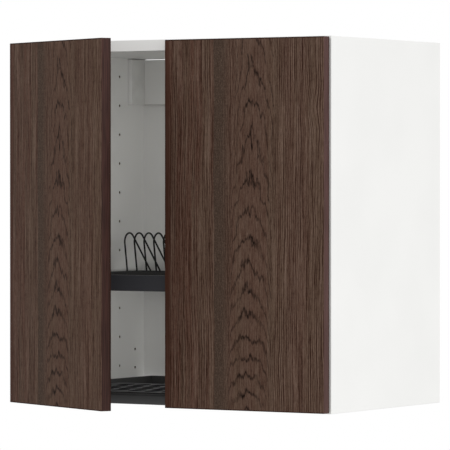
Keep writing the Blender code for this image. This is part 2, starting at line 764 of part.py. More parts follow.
def make_plate_rack():
    """Side wires and cross rods, with a row of hoops welded on to part the plates."""
    points = hoop_path()
    level = rod_level()
    edge = rack_edge()
    front = back_from_front(FRONT_ROD)
    rear = points[-1][0]
    near = points[1][0] - ROD_RADIUS
    first = rod(bmesh.new(), (-edge, front, level), (edge, front, level), ROD_RADIUS, ROD_SIDES)
    rack = smooth(piece("plate_rack", first, "black_wire"))
    sides = bmesh.new()
    for sign in SIDES.values():
        start = (sign * edge, front - 2 * ROD_RADIUS, level)
        end = (sign * edge, rear + 2 * ROD_RADIUS, level)
        rod(sides, start, end, SIDE_WIRE_RADIUS, ROD_SIDES)
    weld(rack, sides, "side_wires")
    rods = bmesh.new()
    for y in (near, rear):
        rod(rods, (-edge, y, level), (edge, y, level), ROD_RADIUS, ROD_SIDES)
    weld(rack, rods, "cross_rods")
    wires = bmesh.new()
    for x in hoop_places():
        single = tube(points, WIRE_RADIUS, WIRE_SIDES, x)
        mesh = bpy.data.meshes.new("hoop")
        single.to_mesh(mesh)
        single.free()
        wires.from_mesh(mesh)
        bpy.data.meshes.remove(mesh)
    return weld(rack, wires, "hoops")


def make_drip_tray():
    """Shallow tray with a flange along each side, a lower front, and a rib that keeps the grid in place."""
    half = HALF_WIDTH - INNER - TRAY_BRACKET_WIDTH - CLEARANCE
    flange_half = HALF_WIDTH - INNER - CLEARANCE
    front = back_from_front(FRAME_SETBACK)
    rear = back_from_front(TRAY_REAR)
    low = above_bottom(TRAY_BOTTOM)
    rim = above_bottom(TRAY_RIM_TOP)
    flange = above_bottom(TRAY_FLANGE_TOP)
    shape = block(bmesh.new(), (-half, front, low), (half, rear, rim))
    tray = piece("drip_tray", shape, "anthracite_plastic")
    flanges = bmesh.new()
    for sign in SIDES.values():
        outer = sign * flange_half
        inner = sign * (half - TRAY_SKIN / 2)
        low_corner = (min(outer, inner), front + TRAY_CORNER, flange - TRAY_FLANGE_THICK)
        block(flanges, low_corner, (max(outer, inner), rear, flange))
    weld(tray, flanges, "flanges")
    inside = half - TRAY_SKIN
    floor = low + TRAY_SKIN
    hollow_low = (-inside, front + TRAY_SKIN, floor)
    hollow = block(bmesh.new(), hollow_low, (inside, rear - TRAY_SKIN, rim + OVERRUN))
    cut(tray, hollow, "hollow")
    rib_front = back_from_front(GRID_REAR) + CLEARANCE
    rib_low = (-inside - TRAY_SKIN / 2, rib_front, floor - TRAY_SKIN / 2)
    rib_high = (inside + TRAY_SKIN / 2, rib_front + TRAY_RIB_THICK, floor + TRAY_RIB_HEIGHT)
    weld(tray, block(bmesh.new(), rib_low, rib_high), "rib")
    scoop_low = (-HALF_WIDTH, front - OVERRUN, above_bottom(TRAY_FRONT_TOP))
    scoop = block(bmesh.new(), scoop_low, (HALF_WIDTH, front + TRAY_CORNER, rim + OVERRUN))
    cut(tray, scoop, "low_front")
    for side in SIDES:
        make_tray_bracket(side, flange - TRAY_FLANGE_THICK - CLEARANCE)


def make_tray_bracket(side, top):
    """Angle on the side panel that carries the tray's flange."""
    wall = across(side, INNER)
    wall_face = across(side, INNER + TRAY_BRACKET_SKIN)
    edge = across(side, INNER + TRAY_BRACKET_WIDTH - 2 * CLEARANCE)
    outline = [
        (wall, top - TRAY_BRACKET_HEIGHT),
        (wall_face, top - TRAY_BRACKET_HEIGHT),
        (wall_face, top - TRAY_BRACKET_SKIN),
        (edge, top - TRAY_BRACKET_SKIN),
        (edge, top),
        (wall, top),
    ]
    front = back_from_front(TRAY_BRACKET_START)
    rear = back_from_front(TRAY_BRACKET_END)
    shape = prism(bmesh.new(), outline, front, rear, along_y)
    return piece(f"tray_bracket_{side}", shape, "anthracite_plastic")


def lens_centres(half_width, front, rear):
    """Centres of a panel's openings, in rows that are staggered by half a pitch."""
    usable = half_width - GRID_BORDER - LENS_HALF_WIDTH
    columns = math.floor(usable / LENS_PITCH)
    staggered_columns = math.floor(usable / LENS_PITCH + 1 / 2)
    rows = math.floor((rear - front - 2 * GRID_BORDER - 2 * LENS_HALF_LENGTH) / LENS_ROW_PITCH) + 1
    centres = []
    for row in range(rows):
        y = (front + rear) / 2 + (row - (rows - 1) / 2) * LENS_ROW_PITCH
        if row % 2:
            places = [LENS_PITCH * (column + 1 / 2) for column in range(-staggered_columns, staggered_columns)]
        else:
            places = [LENS_PITCH * column for column in range(-columns, columns + 1)]
        centres += [(x, y) for x in places]
    return centres


def make_tray_insert():
    """Open grid on a skirt that stands on the tray's floor."""
    half = HALF_WIDTH - INNER - TRAY_BRACKET_WIDTH - CLEARANCE - TRAY_SKIN - GRID_MARGIN
    front = back_from_front(FRAME_SETBACK) + TRAY_SKIN + GRID_MARGIN
    rear = back_from_front(GRID_REAR)
    floor = above_bottom(TRAY_BOTTOM) + TRAY_SKIN + CLEARANCE
    top = above_bottom(GRID_TOP)
    shape = block(bmesh.new(), (-half, front, floor), (half, rear, top))
    insert = piece("tray_insert", shape, "anthracite_plastic")
    skirt = GRID_SKIRT
    hollow_low = (-half + skirt, front + skirt, floor - OVERRUN)
    hollow = block(bmesh.new(), hollow_low, (half - skirt, rear - skirt, top - GRID_THICK))
    cut(insert, hollow, "underside")
    lenses = bmesh.new()
    for x, y in lens_centres(half, front, rear):
        shoulder = LENS_HALF_LENGTH * LENS_SHOULDER_SHARE
        outline = [
            (x, y - LENS_HALF_LENGTH),
            (x + LENS_HALF_WIDTH, y - shoulder),
            (x + LENS_HALF_WIDTH, y + shoulder),
            (x, y + LENS_HALF_LENGTH),
            (x - LENS_HALF_WIDTH, y + shoulder),
            (x - LENS_HALF_WIDTH, y - shoulder),
        ]
        prism(lenses, outline, top - GRID_THICK - OVERRUN, top + OVERRUN, along_z)
    return cut(insert, lenses, "openings")


def make_hinges(side, link_axis, door_axis):
    for label in HINGE_LEVELS:
        make_hinge_plate(side, label)
        make_hinge_arm(side, label)
        make_hinge_link(side, label, link_axis)
        make_hinge_cup(side, label, door_axis)


def main():
    clear_scene()
    make_top_panel()
    make_back()
    for side in SIDES:
        make_side_panel(side)
        make_suspension(side)
        link_axis, door_axis = make_axes(side)
        make_door(side, door_axis)
        make_bumpers(side, door_axis)
        make_hinges(side, link_axis, door_axis)
    make_rack_frame()
    make_plate_rack()
    make_drip_tray()
    make_tray_insert()


main()
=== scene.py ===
"""Looks of the kitchen wall cabinet: stained veneer doors, white carcass, anthracite dish drainer.

Lengths are in metres, angles in degrees.
"""

import math
from functools import cached_property

import bmesh
import bpy
from mathutils import Matrix, Vector


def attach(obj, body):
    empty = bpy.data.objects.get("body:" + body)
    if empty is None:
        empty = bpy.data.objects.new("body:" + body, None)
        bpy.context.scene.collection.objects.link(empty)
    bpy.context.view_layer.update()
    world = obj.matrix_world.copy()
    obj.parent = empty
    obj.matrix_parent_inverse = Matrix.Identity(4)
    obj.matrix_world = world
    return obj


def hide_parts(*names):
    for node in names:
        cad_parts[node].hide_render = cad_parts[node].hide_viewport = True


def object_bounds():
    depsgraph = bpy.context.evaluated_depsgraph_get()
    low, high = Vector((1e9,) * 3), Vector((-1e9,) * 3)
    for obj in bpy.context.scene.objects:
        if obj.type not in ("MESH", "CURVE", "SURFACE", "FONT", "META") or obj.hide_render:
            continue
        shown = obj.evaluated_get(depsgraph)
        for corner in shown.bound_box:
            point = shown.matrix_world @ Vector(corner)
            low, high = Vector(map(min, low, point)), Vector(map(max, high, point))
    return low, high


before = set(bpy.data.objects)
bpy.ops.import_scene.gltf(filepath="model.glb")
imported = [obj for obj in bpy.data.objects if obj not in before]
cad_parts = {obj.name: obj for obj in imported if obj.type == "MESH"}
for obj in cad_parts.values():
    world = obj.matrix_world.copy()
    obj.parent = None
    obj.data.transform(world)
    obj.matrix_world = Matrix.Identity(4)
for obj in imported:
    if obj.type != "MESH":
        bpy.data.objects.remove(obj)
cad_low, cad_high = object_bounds()

# The photograph's camera, in the part's frame
PHOTO_WIDTH = 450
FOCAL_PIXELS = 3697
SENSOR = 36.0
CAMERA_PLACE = (3.20266, -5.45441, -0.22157)
CAMERA_YAW = 31.348
CAMERA_PITCH = 0.679
NEAREST = 0.1
FARTHEST = 60

# Carcass, as in the part
HALF_WIDTH = 0.300
BOARD = 0.018
CLEARANCE = 0.0003
FRONT = -0.366
TOP = 0.009
BOTTOM = -0.591
INNER = BOARD + CLEARANCE
SIDES = {"left": -1, "right": 1}

# Fine shaping: small roundings, and how round parts are built up
EASE = 0.0004
RIB_EASE = 0.0006
FOLD_EASE = 0.0002
CORNER_SHARE = 0.45
SAME_PLACE = 0.000002
DOME_REACH = 0.5
DOME_TOP = 0.6
BUTTON_SIDES = 24
PIN_SIDES = 16
ROD_SIDES = 20
WIRE_SIDES = 14
BORE_SIDES = 64
CUP_SIDES = 48
FLANGE_SIDES = 32
EYE_SIDES = 24
ARC_STEPS = {"flange": 16, "ear": 12, "arm nose": 8, "hoop": 16, "hoop foot": 6, "plan corner": 6}

# Doors
DOOR_WIDTH = 0.297
DOOR_HEIGHT = 0.597
DOOR_THICK = 0.018
DOOR_GAP = 0.003
DOOR_EASE = 0.0008
REVEAL = 0.0015
CUP_FROM_EDGE = 0.021
CUP_BORE = 0.0178
CUP_SINK = 0.0117
BORE_OVERRUN = 0.002
LEFT_DOOR_SWING = 25.9
FACING_BACK = Matrix.Rotation(math.radians(-90), 4, "X")

# Hinges. Each screw of an arm has its distance behind the front and its radius.
HINGE_LEVELS = {"lower": 0.100, "upper": 0.500}
PLATE_ROW = 0.037
PLATE_THICK = 0.0020
PLATE_WING_HALF = 0.0085
PLATE_HALF_HEIGHT = 0.024
PLATE_NOSE = 0.010
PLATE_TAIL = 0.023
PLATE_BODY_HALF = 0.0077
PLATE_CORNER = 0.0022
PLATE_RIB_HEIGHT = 0.008
PLATE_RIB_HALF = 0.0030
PLATE_SCREW_OFFSET = 0.016
PLATE_SCREW_RADIUS = 0.0043
PLATE_SCREW_HEIGHT = 0.0012
ARM_PIN_IN = 0.0327
ARM_PIN_OUT = 0.0084
ARM_NOSE = 0.00265
ARM_HALF_HEIGHT = 0.0052
ARM_CHEEK = 0.0016
ARM_WEB = 0.0014
ARM_REACH = 0.062
ARM_SHOULDER = 0.004
ARM_SCREWS = ((0.014, 0.0030), (0.046, 0.0036))
ARM_SCREW_HEIGHT = 0.0009
LINK_HALF_HEIGHT = 0.0033
LINK_THICK = 0.0024
EYE_RADIUS = 0.0025
PIN_RADIUS = 0.0012
PIN_OVERRUN = 0.0002
CUP_PIN_IN = 0.0133
CUP_PIN_OUT = 0.0055
CUP_RADIUS = 0.0175
CUP_WALL = 0.0007
CUP_DEPTH = 0.0114
CUP_FLOOR_ROUND = 0.002
CUP_INNER_ROUND = 0.0016
FLANGE_THICK = 0.0007
FLANGE_EASE = 0.00021
FLANGE_HALF_WIDTH = 0.019
FLANGE_HALF_HEIGHT = 0.031
FLANGE_EAR_HALF_WIDTH = 0.008
EAR_SCREW_OFFSET = 0.024
EAR_SCREW_RADIUS = 0.0036
EAR_SCREW_HEIGHT = 0.0011

# Section of a screw head and of a pad, and the cross on a head, all as shares of radius and height
SCREW_CROWN = ((1, 0), (1, 0.35), (0.93, 0.62), (0.72, 0.88), (0.45, 1), (0, 1))
PAD_CROWN = ((0, 0), (1, 0), (1, 0.35), (0.92, 0.62), (0.72, 0.85), (0.4, 0.97), (0, 1))
CROSS_LENGTH = 0.52
CROSS_HALF = 0.11
CROSS_LEVELS = (0.97, 1.04)
CROSS_EASE = 0.4

# Upper drainer
RACK_LEVEL = 0.1895
RACK_FRAME_HEIGHT = 0.026
FRAME_SETBACK = 0.001
RAIL_FLOOR_DEPTH = 0.030
RAIL_LIP_DEPTH = 0.012
RAIL_SKIN = 0.0018
RAIL_ROUND = 0.0005
REAR_RAIL_DEPTH = 0.024
REAR_RAIL_BACK = 0.350
END_BRACKET_SKIN = 0.003
LEDGE_RISE = 0.0175
LEDGE_WIDTH = 0.014
SIDE_WIRE_RADIUS = 0.0029
ROD_RADIUS = 0.0025
WIRE_RADIUS = 0.0015
WELD = 0.0005
WELD_SHARES = (1.35, 1.25, 0.75)
HOOP_COUNT = 26
HOOP_PITCH = 0.0197
FRONT_ROD = 0.038
WIRE_OVERHANG = 0.003
HOOP_TOP = 0.2820
HOOP_NOSE = 0.2575
HOOP_BEND_RADIUS = 0.0150
NEAR_LEG_LEAN = 9.5
FAR_LEG_LEAN = 42.5
FOOT_BEND_RADIUS = 0.006

# Lower tray. A rounding is its reach and the place of its middle, the groove its depths and levels.
TRAY_BOTTOM = 0.0043
TRAY_FRONT_TOP = 0.0228
TRAY_RIM_TOP = 0.0306
TRAY_FLANGE_TOP = 0.0225
TRAY_FLANGE_THICK = 0.0025
TRAY_SKIN = 0.0020
TRAY_REAR = 0.3485
TRAY_CORNER = 0.004
RIM_START = 0.75
RIM_SHARES = (0.25, 0.5, 0.75, 1.0, 1.5)
TRAY_ROUND = 0.003
TRAY_FOOT_ROUND = (0.0010, 0.0003)
TRAY_RIM_ROUND = (0.0007, 0.0002)
TRAY_FILLET = (0.0012, 0.0004)
TRAY_GROOVE = ((0.0, 0.0040), (0.0014, 0.0034), (0.0014, 0.0017), (0.0, 0.0014))
TRAY_SIDE_IN = 0.0406
TRAY_RIB_HEIGHT = 0.004
TRAY_RIB_THICK = 0.002
GRID_TOP = 0.0238
GRID_THICK = 0.0022
GRID_REAR = 0.2380
GRID_MARGIN = 0.0012
GRID_BORDER = 0.012
GRID_SKIRT = 0.0020
GRID_CORNER = 0.003
LENS_PITCH = 0.0325
LENS_ROW_PITCH = 0.047
LENS_HALF_WIDTH = 0.0095
LENS_HALF_LENGTH = 0.0270
LENS_TAPER = 0.8
LENS_STEPS = 10
GRID_EASE = 0.0009

# Bracket covers, hanging rail and door pads
COVER_THICK = 0.0082
COVER_WIDTH = 0.0415
COVER_HEIGHT = 0.0785
RAIL_SLIT = 0.0015
RAIL_THICK = 0.016
BUMPER_RADIUS = 0.004
BUMPER_THICK = 0.0024
BUMPER_INSET = 0.015

# Floor
FLOOR_DROP = 2.2
FLOOR_SIZE = 8.0

# Light: names, places, strengths. The two fill lamps have a level, a height and a power.
WHITE = (1.0, 1.0, 1.0)
SKY_STRENGTH = 0.50
LIGHT_AIM = (0, -0.2, -0.3)
RIGHT_PLACE = (3.2, 1.4, 2.6)
RIGHT_SPREAD = 25
RIGHT_STRENGTH = 1.88
SOFT_LIGHTS = (("front_light", (-1.2, -3.8, 2.6), 60), ("gap_light", (2.8, -3.8, 0.6), 37))
SOFT_LIGHT_SIZE = 2.5
FILL_LAMPS = (("rack_fill", -0.18, 0.32, 0.180), ("tray_fill", -0.485, 0.11, 0.225))
FILL_PLACE = (0.10, -0.24)
FILL_AIM = (-0.20, 0.0)
FILL_WIDTH = 0.12
FILL_TINT = (1.0, 0.99, 0.955)

# Board faces, a painted shade line at the hanging rail's foot, and the raw chipboard under their skin
WHITE_TINT = (0.86, 0.86, 0.845)
BACK_TINT = (0.92, 0.92, 0.905)
# Height and tint of the painted shade line at the hanging rail's foot
RAIL_FOOT_SHADE_HEIGHT = 0.0016
RAIL_FOOT_SHADE_TINT = (0.42, 0.40, 0.37)
CHIP_TINTS = ((0.13, 0.105, 0.075), (0.26, 0.215, 0.16))
FACE_SKIN = 0.0006
FACE_FADE = 0.0004

# Other finishes, some of them darkened as painted shade, and the scales of their grain
# The bracket covers' white plastic, darkened as painted shade
COVER_SHADED_TINT = (0.69, 0.69, 0.675)
NICKEL_TINT = (0.60, 0.58, 0.55)
ZINC_TINT = (0.55, 0.55, 0.56)
# Dark tint of the raised crosses on screw heads: painted shade for their recesses
RECESS_SHADE_TINT = (0.10, 0.10, 0.10)
PAD_TINT = (0.62, 0.62, 0.60)
COAT_TINT = (0.060, 0.061, 0.069)
# The same anthracite coat, darkened as painted shade, for the rail and brackets at the rear of the rack
SHADED_COAT_TINT = (0.020, 0.020, 0.024)
TRAY_TINT = (0.034, 0.034, 0.034)
WIRE_TINT = (0.003, 0.003, 0.003)
GRID_TOP_TINTS = ((0.020, 0.020, 0.028), (0.027, 0.027, 0.037))
# Near-black of the grid's walls and openings: painted shade
GRID_WALL_SHADE_TINT = (0.006, 0.006, 0.007)
FLOOR_TINTS = ((0.83, 0.83, 0.82), (0.86, 0.86, 0.85))
DRAWN_SCALE = (60.0, 900.0, 900.0)
POWDER_SCALE = (1200.0, 1200.0, 1200.0)
PAD_GRAIN_SCALE = 300.0
WIRE_GRAIN_SCALE = 500.0
MIDDLE_RANGE = (0.3, 0.7)

# Veneer figure, measured from the door's left and lower edges
SWAY = 0.010
SWAY_SCALE = (7.0, 7.0, 3.2)
RIPPLE = 0.0050
RIPPLE_SCALE = (30.0, 30.0, 16.0)
FIGURE_FOOT = 0.1500
FIGURE_LEAN = 0.022
FIGURE_LEFT_WIDTH = 0.038
FIGURE_RIGHT_WIDTH = 0.052
ARCH_DROP_FOOT = 0.026
ARCH_DROP_START = 0.008
ARCH_DROP_RISE = 0.24
ARCH_LIMIT = 0.97
ARCH_ROUNDNESS = 1.35
ARCH_STEEPNESS = 4.0
TIP_SHIFT = 0.022
LOWEST_RING = -0.2
RING_GROWTH = 2.77
RING_COUNT = 13.9
LINE_PITCH = 0.0040
LINE_WANDER = 2.2
BAND_START = 0.0925
BAND_START_WIDTH = 0.0020
BAND_FADE_START = 0.103
BAND_FADE_END = 0.132
SWERVE_X = 0.274
SWERVE_Z = 0.485
SWERVE_WIDTH = 0.018
SWERVE_HEIGHT = 0.022
SWERVE_SHIFT = 0.0048
# Width of a darker strip along each door's left edge
LEFT_EDGE_DARK_WIDTH = 0.0095
RED_ZONE_START = 0.050
RED_ZONE_END = 0.100
# Width of a dark line painted along the door's top and bottom ends: painted shade
END_SHADE_LINE = 0.0022
# Width of a dark line painted at the rear of the edge band: painted shade
REAR_SHADE_LINE = 0.0030
# Dark stain of the wood, also used for the painted shade lines at the door's ends and at the band's rear
DARK_STAIN_AND_SHADE = (0.028, 0.0100, 0.0060)
MID_STAIN = (0.094, 0.0545, 0.0388)
LIGHT_STAIN = (0.162, 0.1080, 0.0820)
RED_STAIN = (0.092, 0.0420, 0.0292)
TAN_STAIN = (0.100, 0.0622, 0.0430)
GREY_STAIN = (0.055, 0.0368, 0.0268)
# Tint of the darker strip along the door's left edge
LEFT_EDGE_DARK_TINT = (0.057, 0.0220, 0.0140)
PORE_STAIN = (0.010, 0.0050, 0.0035)
# Tints of each door's edge band: the left one darker as painted shade, the right one lighter as painted light
BAND_TINTS_LIT_AND_SHADED = {
    "left": ((0.062, 0.026, 0.021), (0.018, 0.007, 0.006), (0.060, 0.033, 0.027)),
    "right": ((0.092, 0.043, 0.039), (0.042, 0.018, 0.016), (0.098, 0.058, 0.050)),
}
BAND_LINE_SCALE = (700.0, 700.0, 14.0)
BAND_TONE_SCALE = (120.0, 120.0, 2.0)

# Veneer noises: scales across and along, and detail and roughness where they matter. The second table sways.
GRAIN_DEPTH_SCALE = 60.0
FLECK_SCALE = (560.0, 560.0, 330.0)
STEADY_GRAINS = {
    "rag": (125.0, 24.0, 2.0, 0.55),
    "swell": (42.0, 10.0),
    "tip shift": (0.5, 14.0),
    "presence": (55.0, 26.0, 2.0, 0.6),
    "dashes": (700.0, 150.0),
    "wander": (60.0, 2.2, 2.0, 0.6),
    "pores": (1250.0, 130.0),
}
SWAYING_GRAINS = {
    "long lines": (640.0, 6.0),
    "short lines": (700.0, 55.0),
    "slow lines": (150.0, 4.0),
    "breaks": (120.0, 8.0),
    "broad": (42.0, 1.2, 2.0),
    "redness": (70.0, 2.0),
}

# How far noises move the arches, and how much they lighten or darken each zone
ARCH_RAGS = {"rag": 0.078, "swell": 0.060}
TONE_WEIGHTS = {
    "straight": {"long lines": 3.0, "short lines": 1.5, "slow lines": 0.15, "flecks": 0.7},
    "figure": {"short lines": 1.6, "long lines": 1.3, "flecks": 0.7},
    "grey band": {"flecks": 1.5, "short lines": 0.8},
}
STRAIGHT_LIFT = 0.08
GROWTH_LINE_WEIGHT = 0.85


class Graph:
    """The nodes of a material or a world, and a short way to write their maths."""

    def __init__(self, owner):
        """Take a material or a world, or the name of a new material."""
        if isinstance(owner, str):
            owner = bpy.data.materials.new(owner)
        owner.use_nodes = True
        self.owner = owner
        self.nodes = owner.node_tree.nodes
        self.links = owner.node_tree.links
        self.shader = self.nodes.get("Principled BSDF")

    def feed(self, value, socket):
        if isinstance(value, bpy.types.NodeSocket):
            self.links.new(value, socket)
        elif socket.type == "RGBA":
            socket.default_value = (*value, 1.0)
        else:
            socket.default_value = value

    def node(self, kind, inputs, **settings):
        """Add a node, set it, and feed its inputs by place or by name."""
        node = self.nodes.new("ShaderNode" + kind)
        for name, value in settings.items():
            setattr(node, name, value)
        for key, value in inputs.items():
            self.feed(value, node.inputs[key])
        return node

    @cached_property
    def place(self):
        """Where a point is in the piece's own frame."""
        return self.node("TexCoord", {}).outputs["Object"]

    def maths(self, operation, *values, clamp=False):
        return self.node("Math", dict(enumerate(values)), operation=operation, use_clamp=clamp).outputs[0]

    def plus(self, first, second):
        return self.maths("ADD", first, second)

    def minus(self, first, second):
        return self.maths("SUBTRACT", first, second)

    def times(self, product, *values, clamp=False):
        for value in values:
            product = self.maths("MULTIPLY", product, value, clamp=clamp)
        return product

    def scaled(self, value, factor, start):
        return self.maths("MULTIPLY_ADD", value, factor, start)

    def distance(self, value, middle=0.0):
        return self.maths("ABSOLUTE", self.minus(value, middle))

    def split(self, vector):
        return tuple(self.node("SeparateXYZ", {0: vector}).outputs)

    def noise(self, vector, scale, detail=2.0, roughness=0.5):
        """Noise with one scale, or with one for each axis."""
        if isinstance(scale, tuple):
            vector = self.node("VectorMath", {0: vector, 1: scale}, operation="MULTIPLY").outputs[0]
            scale = 1.0
        inputs = {"Vector": vector, "Scale": scale, "Detail": detail, "Roughness": roughness}
        return self.node("TexNoise", inputs).outputs["Fac"]

    def ramp(self, value, low, high, start=0.0, end=1.0):
        """Map low..high smoothly to start..end, held outside."""
        inputs = dict(enumerate((value, low, high, start, end)))
        return self.node("MapRange", inputs, interpolation_type="SMOOTHSTEP").outputs["Result"]

    def mix(self, share, first, second):
        return self.node("Mix", {0: share, 6: first, 7: second}, data_type="RGBA").outputs[2]

    def choose(self, share, first, second, output):
        """Show one shader or the other."""
        choice = self.node("MixShader", {0: share, 1: first.outputs[0], 2: second.outputs[0]})
        self.feed(choice.outputs[0], self.nodes[output].inputs["Surface"])

    def bump(self, height, depth, strength):
        bump = self.node("Bump", {"Height": height, "Distance": depth, "Strength": strength})
        self.feed(bump.outputs["Normal"], self.shader.inputs["Normal"])

    def cover(self, share, colour):
        """Lay a colour over the one that the material has."""
        socket = self.shader.inputs["Base Color"]
        self.feed(self.mix(share, socket.links[0].from_socket, colour), socket)

    def paint(self, colour, roughness, metallic=0.0, specular=0.5):
        names = ("Base Color", "Roughness", "Metallic", "Specular IOR Level")
        for value, name in zip((colour, roughness, metallic, specular), names):
            self.feed(value, self.shader.inputs[name])
        return self.owner


def centred(g, value, width):
    """A noise value about zero, with a total width."""
    return g.times(g.minus(value, 0.5), width)


def weighed(g, noises, weights):
    """Sum of noises about zero, each with its own weight."""
    total = 0.0
    for name, weight in weights.items():
        total = g.plus(total, centred(g, noises[name], weight))
    return total


def bell(g, value, middle, width):
    """One at the middle, fading to nothing on both sides."""
    away = g.maths("DIVIDE", g.minus(value, middle), width)
    return g.maths("EXPONENT", g.times(away, away, -1.0))


def grain(g, x, y, z, across_scale, along_scale, detail=1.0, roughness=0.5):
    """Noise drawn out along the boards' length."""
    place = g.node("CombineXYZ", {0: x, 1: y, 2: z}).outputs[0]
    return g.noise(place, (across_scale, GRAIN_DEPTH_SCALE, along_scale), detail, roughness)


def veneer_arches(g, x, z, ragged):
    """Place between two arch lines at this point, and how far the point is from the figure's middle."""
    offset = g.minus(x, g.scaled(z, FIGURE_LEAN, FIGURE_FOOT))
    right = g.maths("GREATER_THAN", offset, 0.0)
    reach = g.scaled(right, FIGURE_RIGHT_WIDTH - FIGURE_LEFT_WIDTH, FIGURE_LEFT_WIDTH)
    share = g.maths("DIVIDE", g.distance(offset), reach)
    inside = g.maths("MINIMUM", share, ARCH_LIMIT)
    rise = g.maths("POWER", inside, ARCH_ROUNDNESS)
    steep = g.minus(1.0, g.maths("POWER", inside, ARCH_STEEPNESS))
    height = g.maths("MAXIMUM", g.scaled(z, ARCH_DROP_RISE, ARCH_DROP_START), ARCH_DROP_FOOT)
    drop = g.times(g.maths("DIVIDE", rise, steep), height)
    level = g.maths("MAXIMUM", g.plus(g.plus(z, drop), ragged), LOWEST_RING)
    grown = g.maths("LOGARITHM", g.scaled(level, RING_GROWTH, 1.0), math.e)
    return g.maths("FRACT", g.scaled(grown, RING_COUNT, 0.5)), share


def veneer_material():
    """Brown stained oak veneer: straight grain, a grey ray-flecked band, and arches in the middle."""
    g = Graph("stained_oak_veneer")
    x, y, z = g.split(g.place)
    sway = centred(g, g.noise(g.place, SWAY_SCALE, 1.0), SWAY)
    ripple = centred(g, g.noise(g.place, RIPPLE_SCALE, 2.0), RIPPLE)
    swerve = g.times(bell(g, x, SWERVE_X, SWERVE_WIDTH), bell(g, z, SWERVE_Z, SWERVE_HEIGHT), SWERVE_SHIFT)
    bent_x = g.plus(g.plus(g.plus(x, sway), ripple), swerve)
    noises = {name: grain(g, x, y, z, *numbers) for name, numbers in STEADY_GRAINS.items()}
    noises |= {name: grain(g, bent_x, y, z, *numbers) for name, numbers in SWAYING_GRAINS.items()}
    noises["flecks"] = g.noise(g.place, FLECK_SCALE, 2.0, 0.6)

    # Arches, with ragged tips and broken legs
    ragged = g.times(weighed(g, noises, ARCH_RAGS), g.ramp(z, 0.0, 0.55, 0.42, 1.0))
    tip_shift = centred(g, noises["tip shift"], TIP_SHIFT)
    ring, share = veneer_arches(g, g.plus(bent_x, tip_shift), z, ragged)
    core = g.ramp(g.distance(ring, 0.5), 0.03, g.ramp(z, 0.0, 0.5, 0.19, 0.13), 1.0, 0.0)
    halo = g.times(g.ramp(ring, 0.50, 0.85, 1.0, 0.0), g.maths("GREATER_THAN", ring, 0.5))
    in_figure = g.ramp(share, 0.84, 1.04, 1.0, 0.0)
    leg = g.ramp(share, 0.16, 0.45, 1.0, 0.66)
    presence = g.ramp(noises["presence"], 0.30, 0.50, 0.42, 1.0)
    dashes = g.ramp(noises["dashes"], 0.42, 0.58)
    arch = g.times(core, g.scaled(dashes, 0.48, 0.52), presence, leg, in_figure)
    trail = g.times(halo, dashes, in_figure, presence)

    # Growth lines between the long and short ones, and pores
    wander = centred(g, noises["wander"], LINE_WANDER)
    turn = g.maths("FRACT", g.plus(g.maths("DIVIDE", bent_x, LINE_PITCH), wander))
    growth_line = g.ramp(g.distance(turn, 0.5), 0.04, 0.24, 1.0, 0.0)
    growth_line = g.times(growth_line, g.ramp(noises["breaks"], 0.30, 0.60))
    pores = g.ramp(noises["pores"], 0.56, 0.66)

    # Zones across the door
    band_start = g.ramp(bent_x, BAND_START, BAND_START + BAND_START_WIDTH)
    in_band = g.times(band_start, g.ramp(bent_x, BAND_FADE_START, BAND_FADE_END, 1.0, 0.0))
    off_band = g.minus(1.0, in_band)
    outside = g.ramp(share, 0.66, 1.02)
    zones = {
        "straight": g.times(off_band, outside),
        "figure": g.times(off_band, g.minus(1.0, outside)),
        "grey band": in_band,
    }

    # How light the wood is here
    tones = {zone: weighed(g, noises, weights) for zone, weights in TONE_WEIGHTS.items()}
    lines = g.times(growth_line, GROWTH_LINE_WEIGHT)
    tones["straight"] = g.minus(g.plus(tones["straight"], STRAIGHT_LIFT), lines)
    tone = 0.0
    for zone, amount in zones.items():
        tone = g.plus(tone, g.times(tones[zone], amount))

    # Stains, one over the other; after them a darker strip along the left edge and painted shade along the
    # top and bottom ends
    redness = g.ramp(noises["redness"], 0.40, 0.60)
    quiet = g.minus(1.0, g.times(in_band, 0.80))
    from_end = g.minus(DOOR_HEIGHT / 2, g.distance(z, DOOR_HEIGHT / 2))
    stains = (
        (g.times(redness, g.ramp(x, RED_ZONE_START, RED_ZONE_END, 1.0, 0.25), 0.70), RED_STAIN),
        (g.times(in_band, 0.85), GREY_STAIN),
        (g.times(tone, 1.15, clamp=True), LIGHT_STAIN),
        (g.times(tone, -1.35, clamp=True), DARK_STAIN_AND_SHADE),
        (g.times(pores, 0.34), PORE_STAIN),
        (g.times(trail, quiet, 0.35), DARK_STAIN_AND_SHADE),
        (g.times(arch, quiet), PORE_STAIN),
        # A darker strip along the door's left edge
        (g.ramp(x, LEFT_EDGE_DARK_WIDTH * 0.7, LEFT_EDGE_DARK_WIDTH * 1.4, 0.80, 0.0), LEFT_EDGE_DARK_TINT),
        # Painted shade: a dark line along the door's top and bottom ends
        (g.ramp(from_end, END_SHADE_LINE * 0.6, END_SHADE_LINE, 0.95, 0.0), DARK_STAIN_AND_SHADE),
    )
    colour = g.mix(g.ramp(noises["broad"], 0.36, 0.64), MID_STAIN, TAN_STAIN)
    for amount, stain in stains:
        colour = g.mix(amount, colour, stain)
    g.bump(g.minus(g.times(pores, -0.6), g.times(arch, 0.8)), 0.00010, 0.4)
    return g.paint(colour, g.scaled(pores, 0.12, 0.52), specular=0.05)


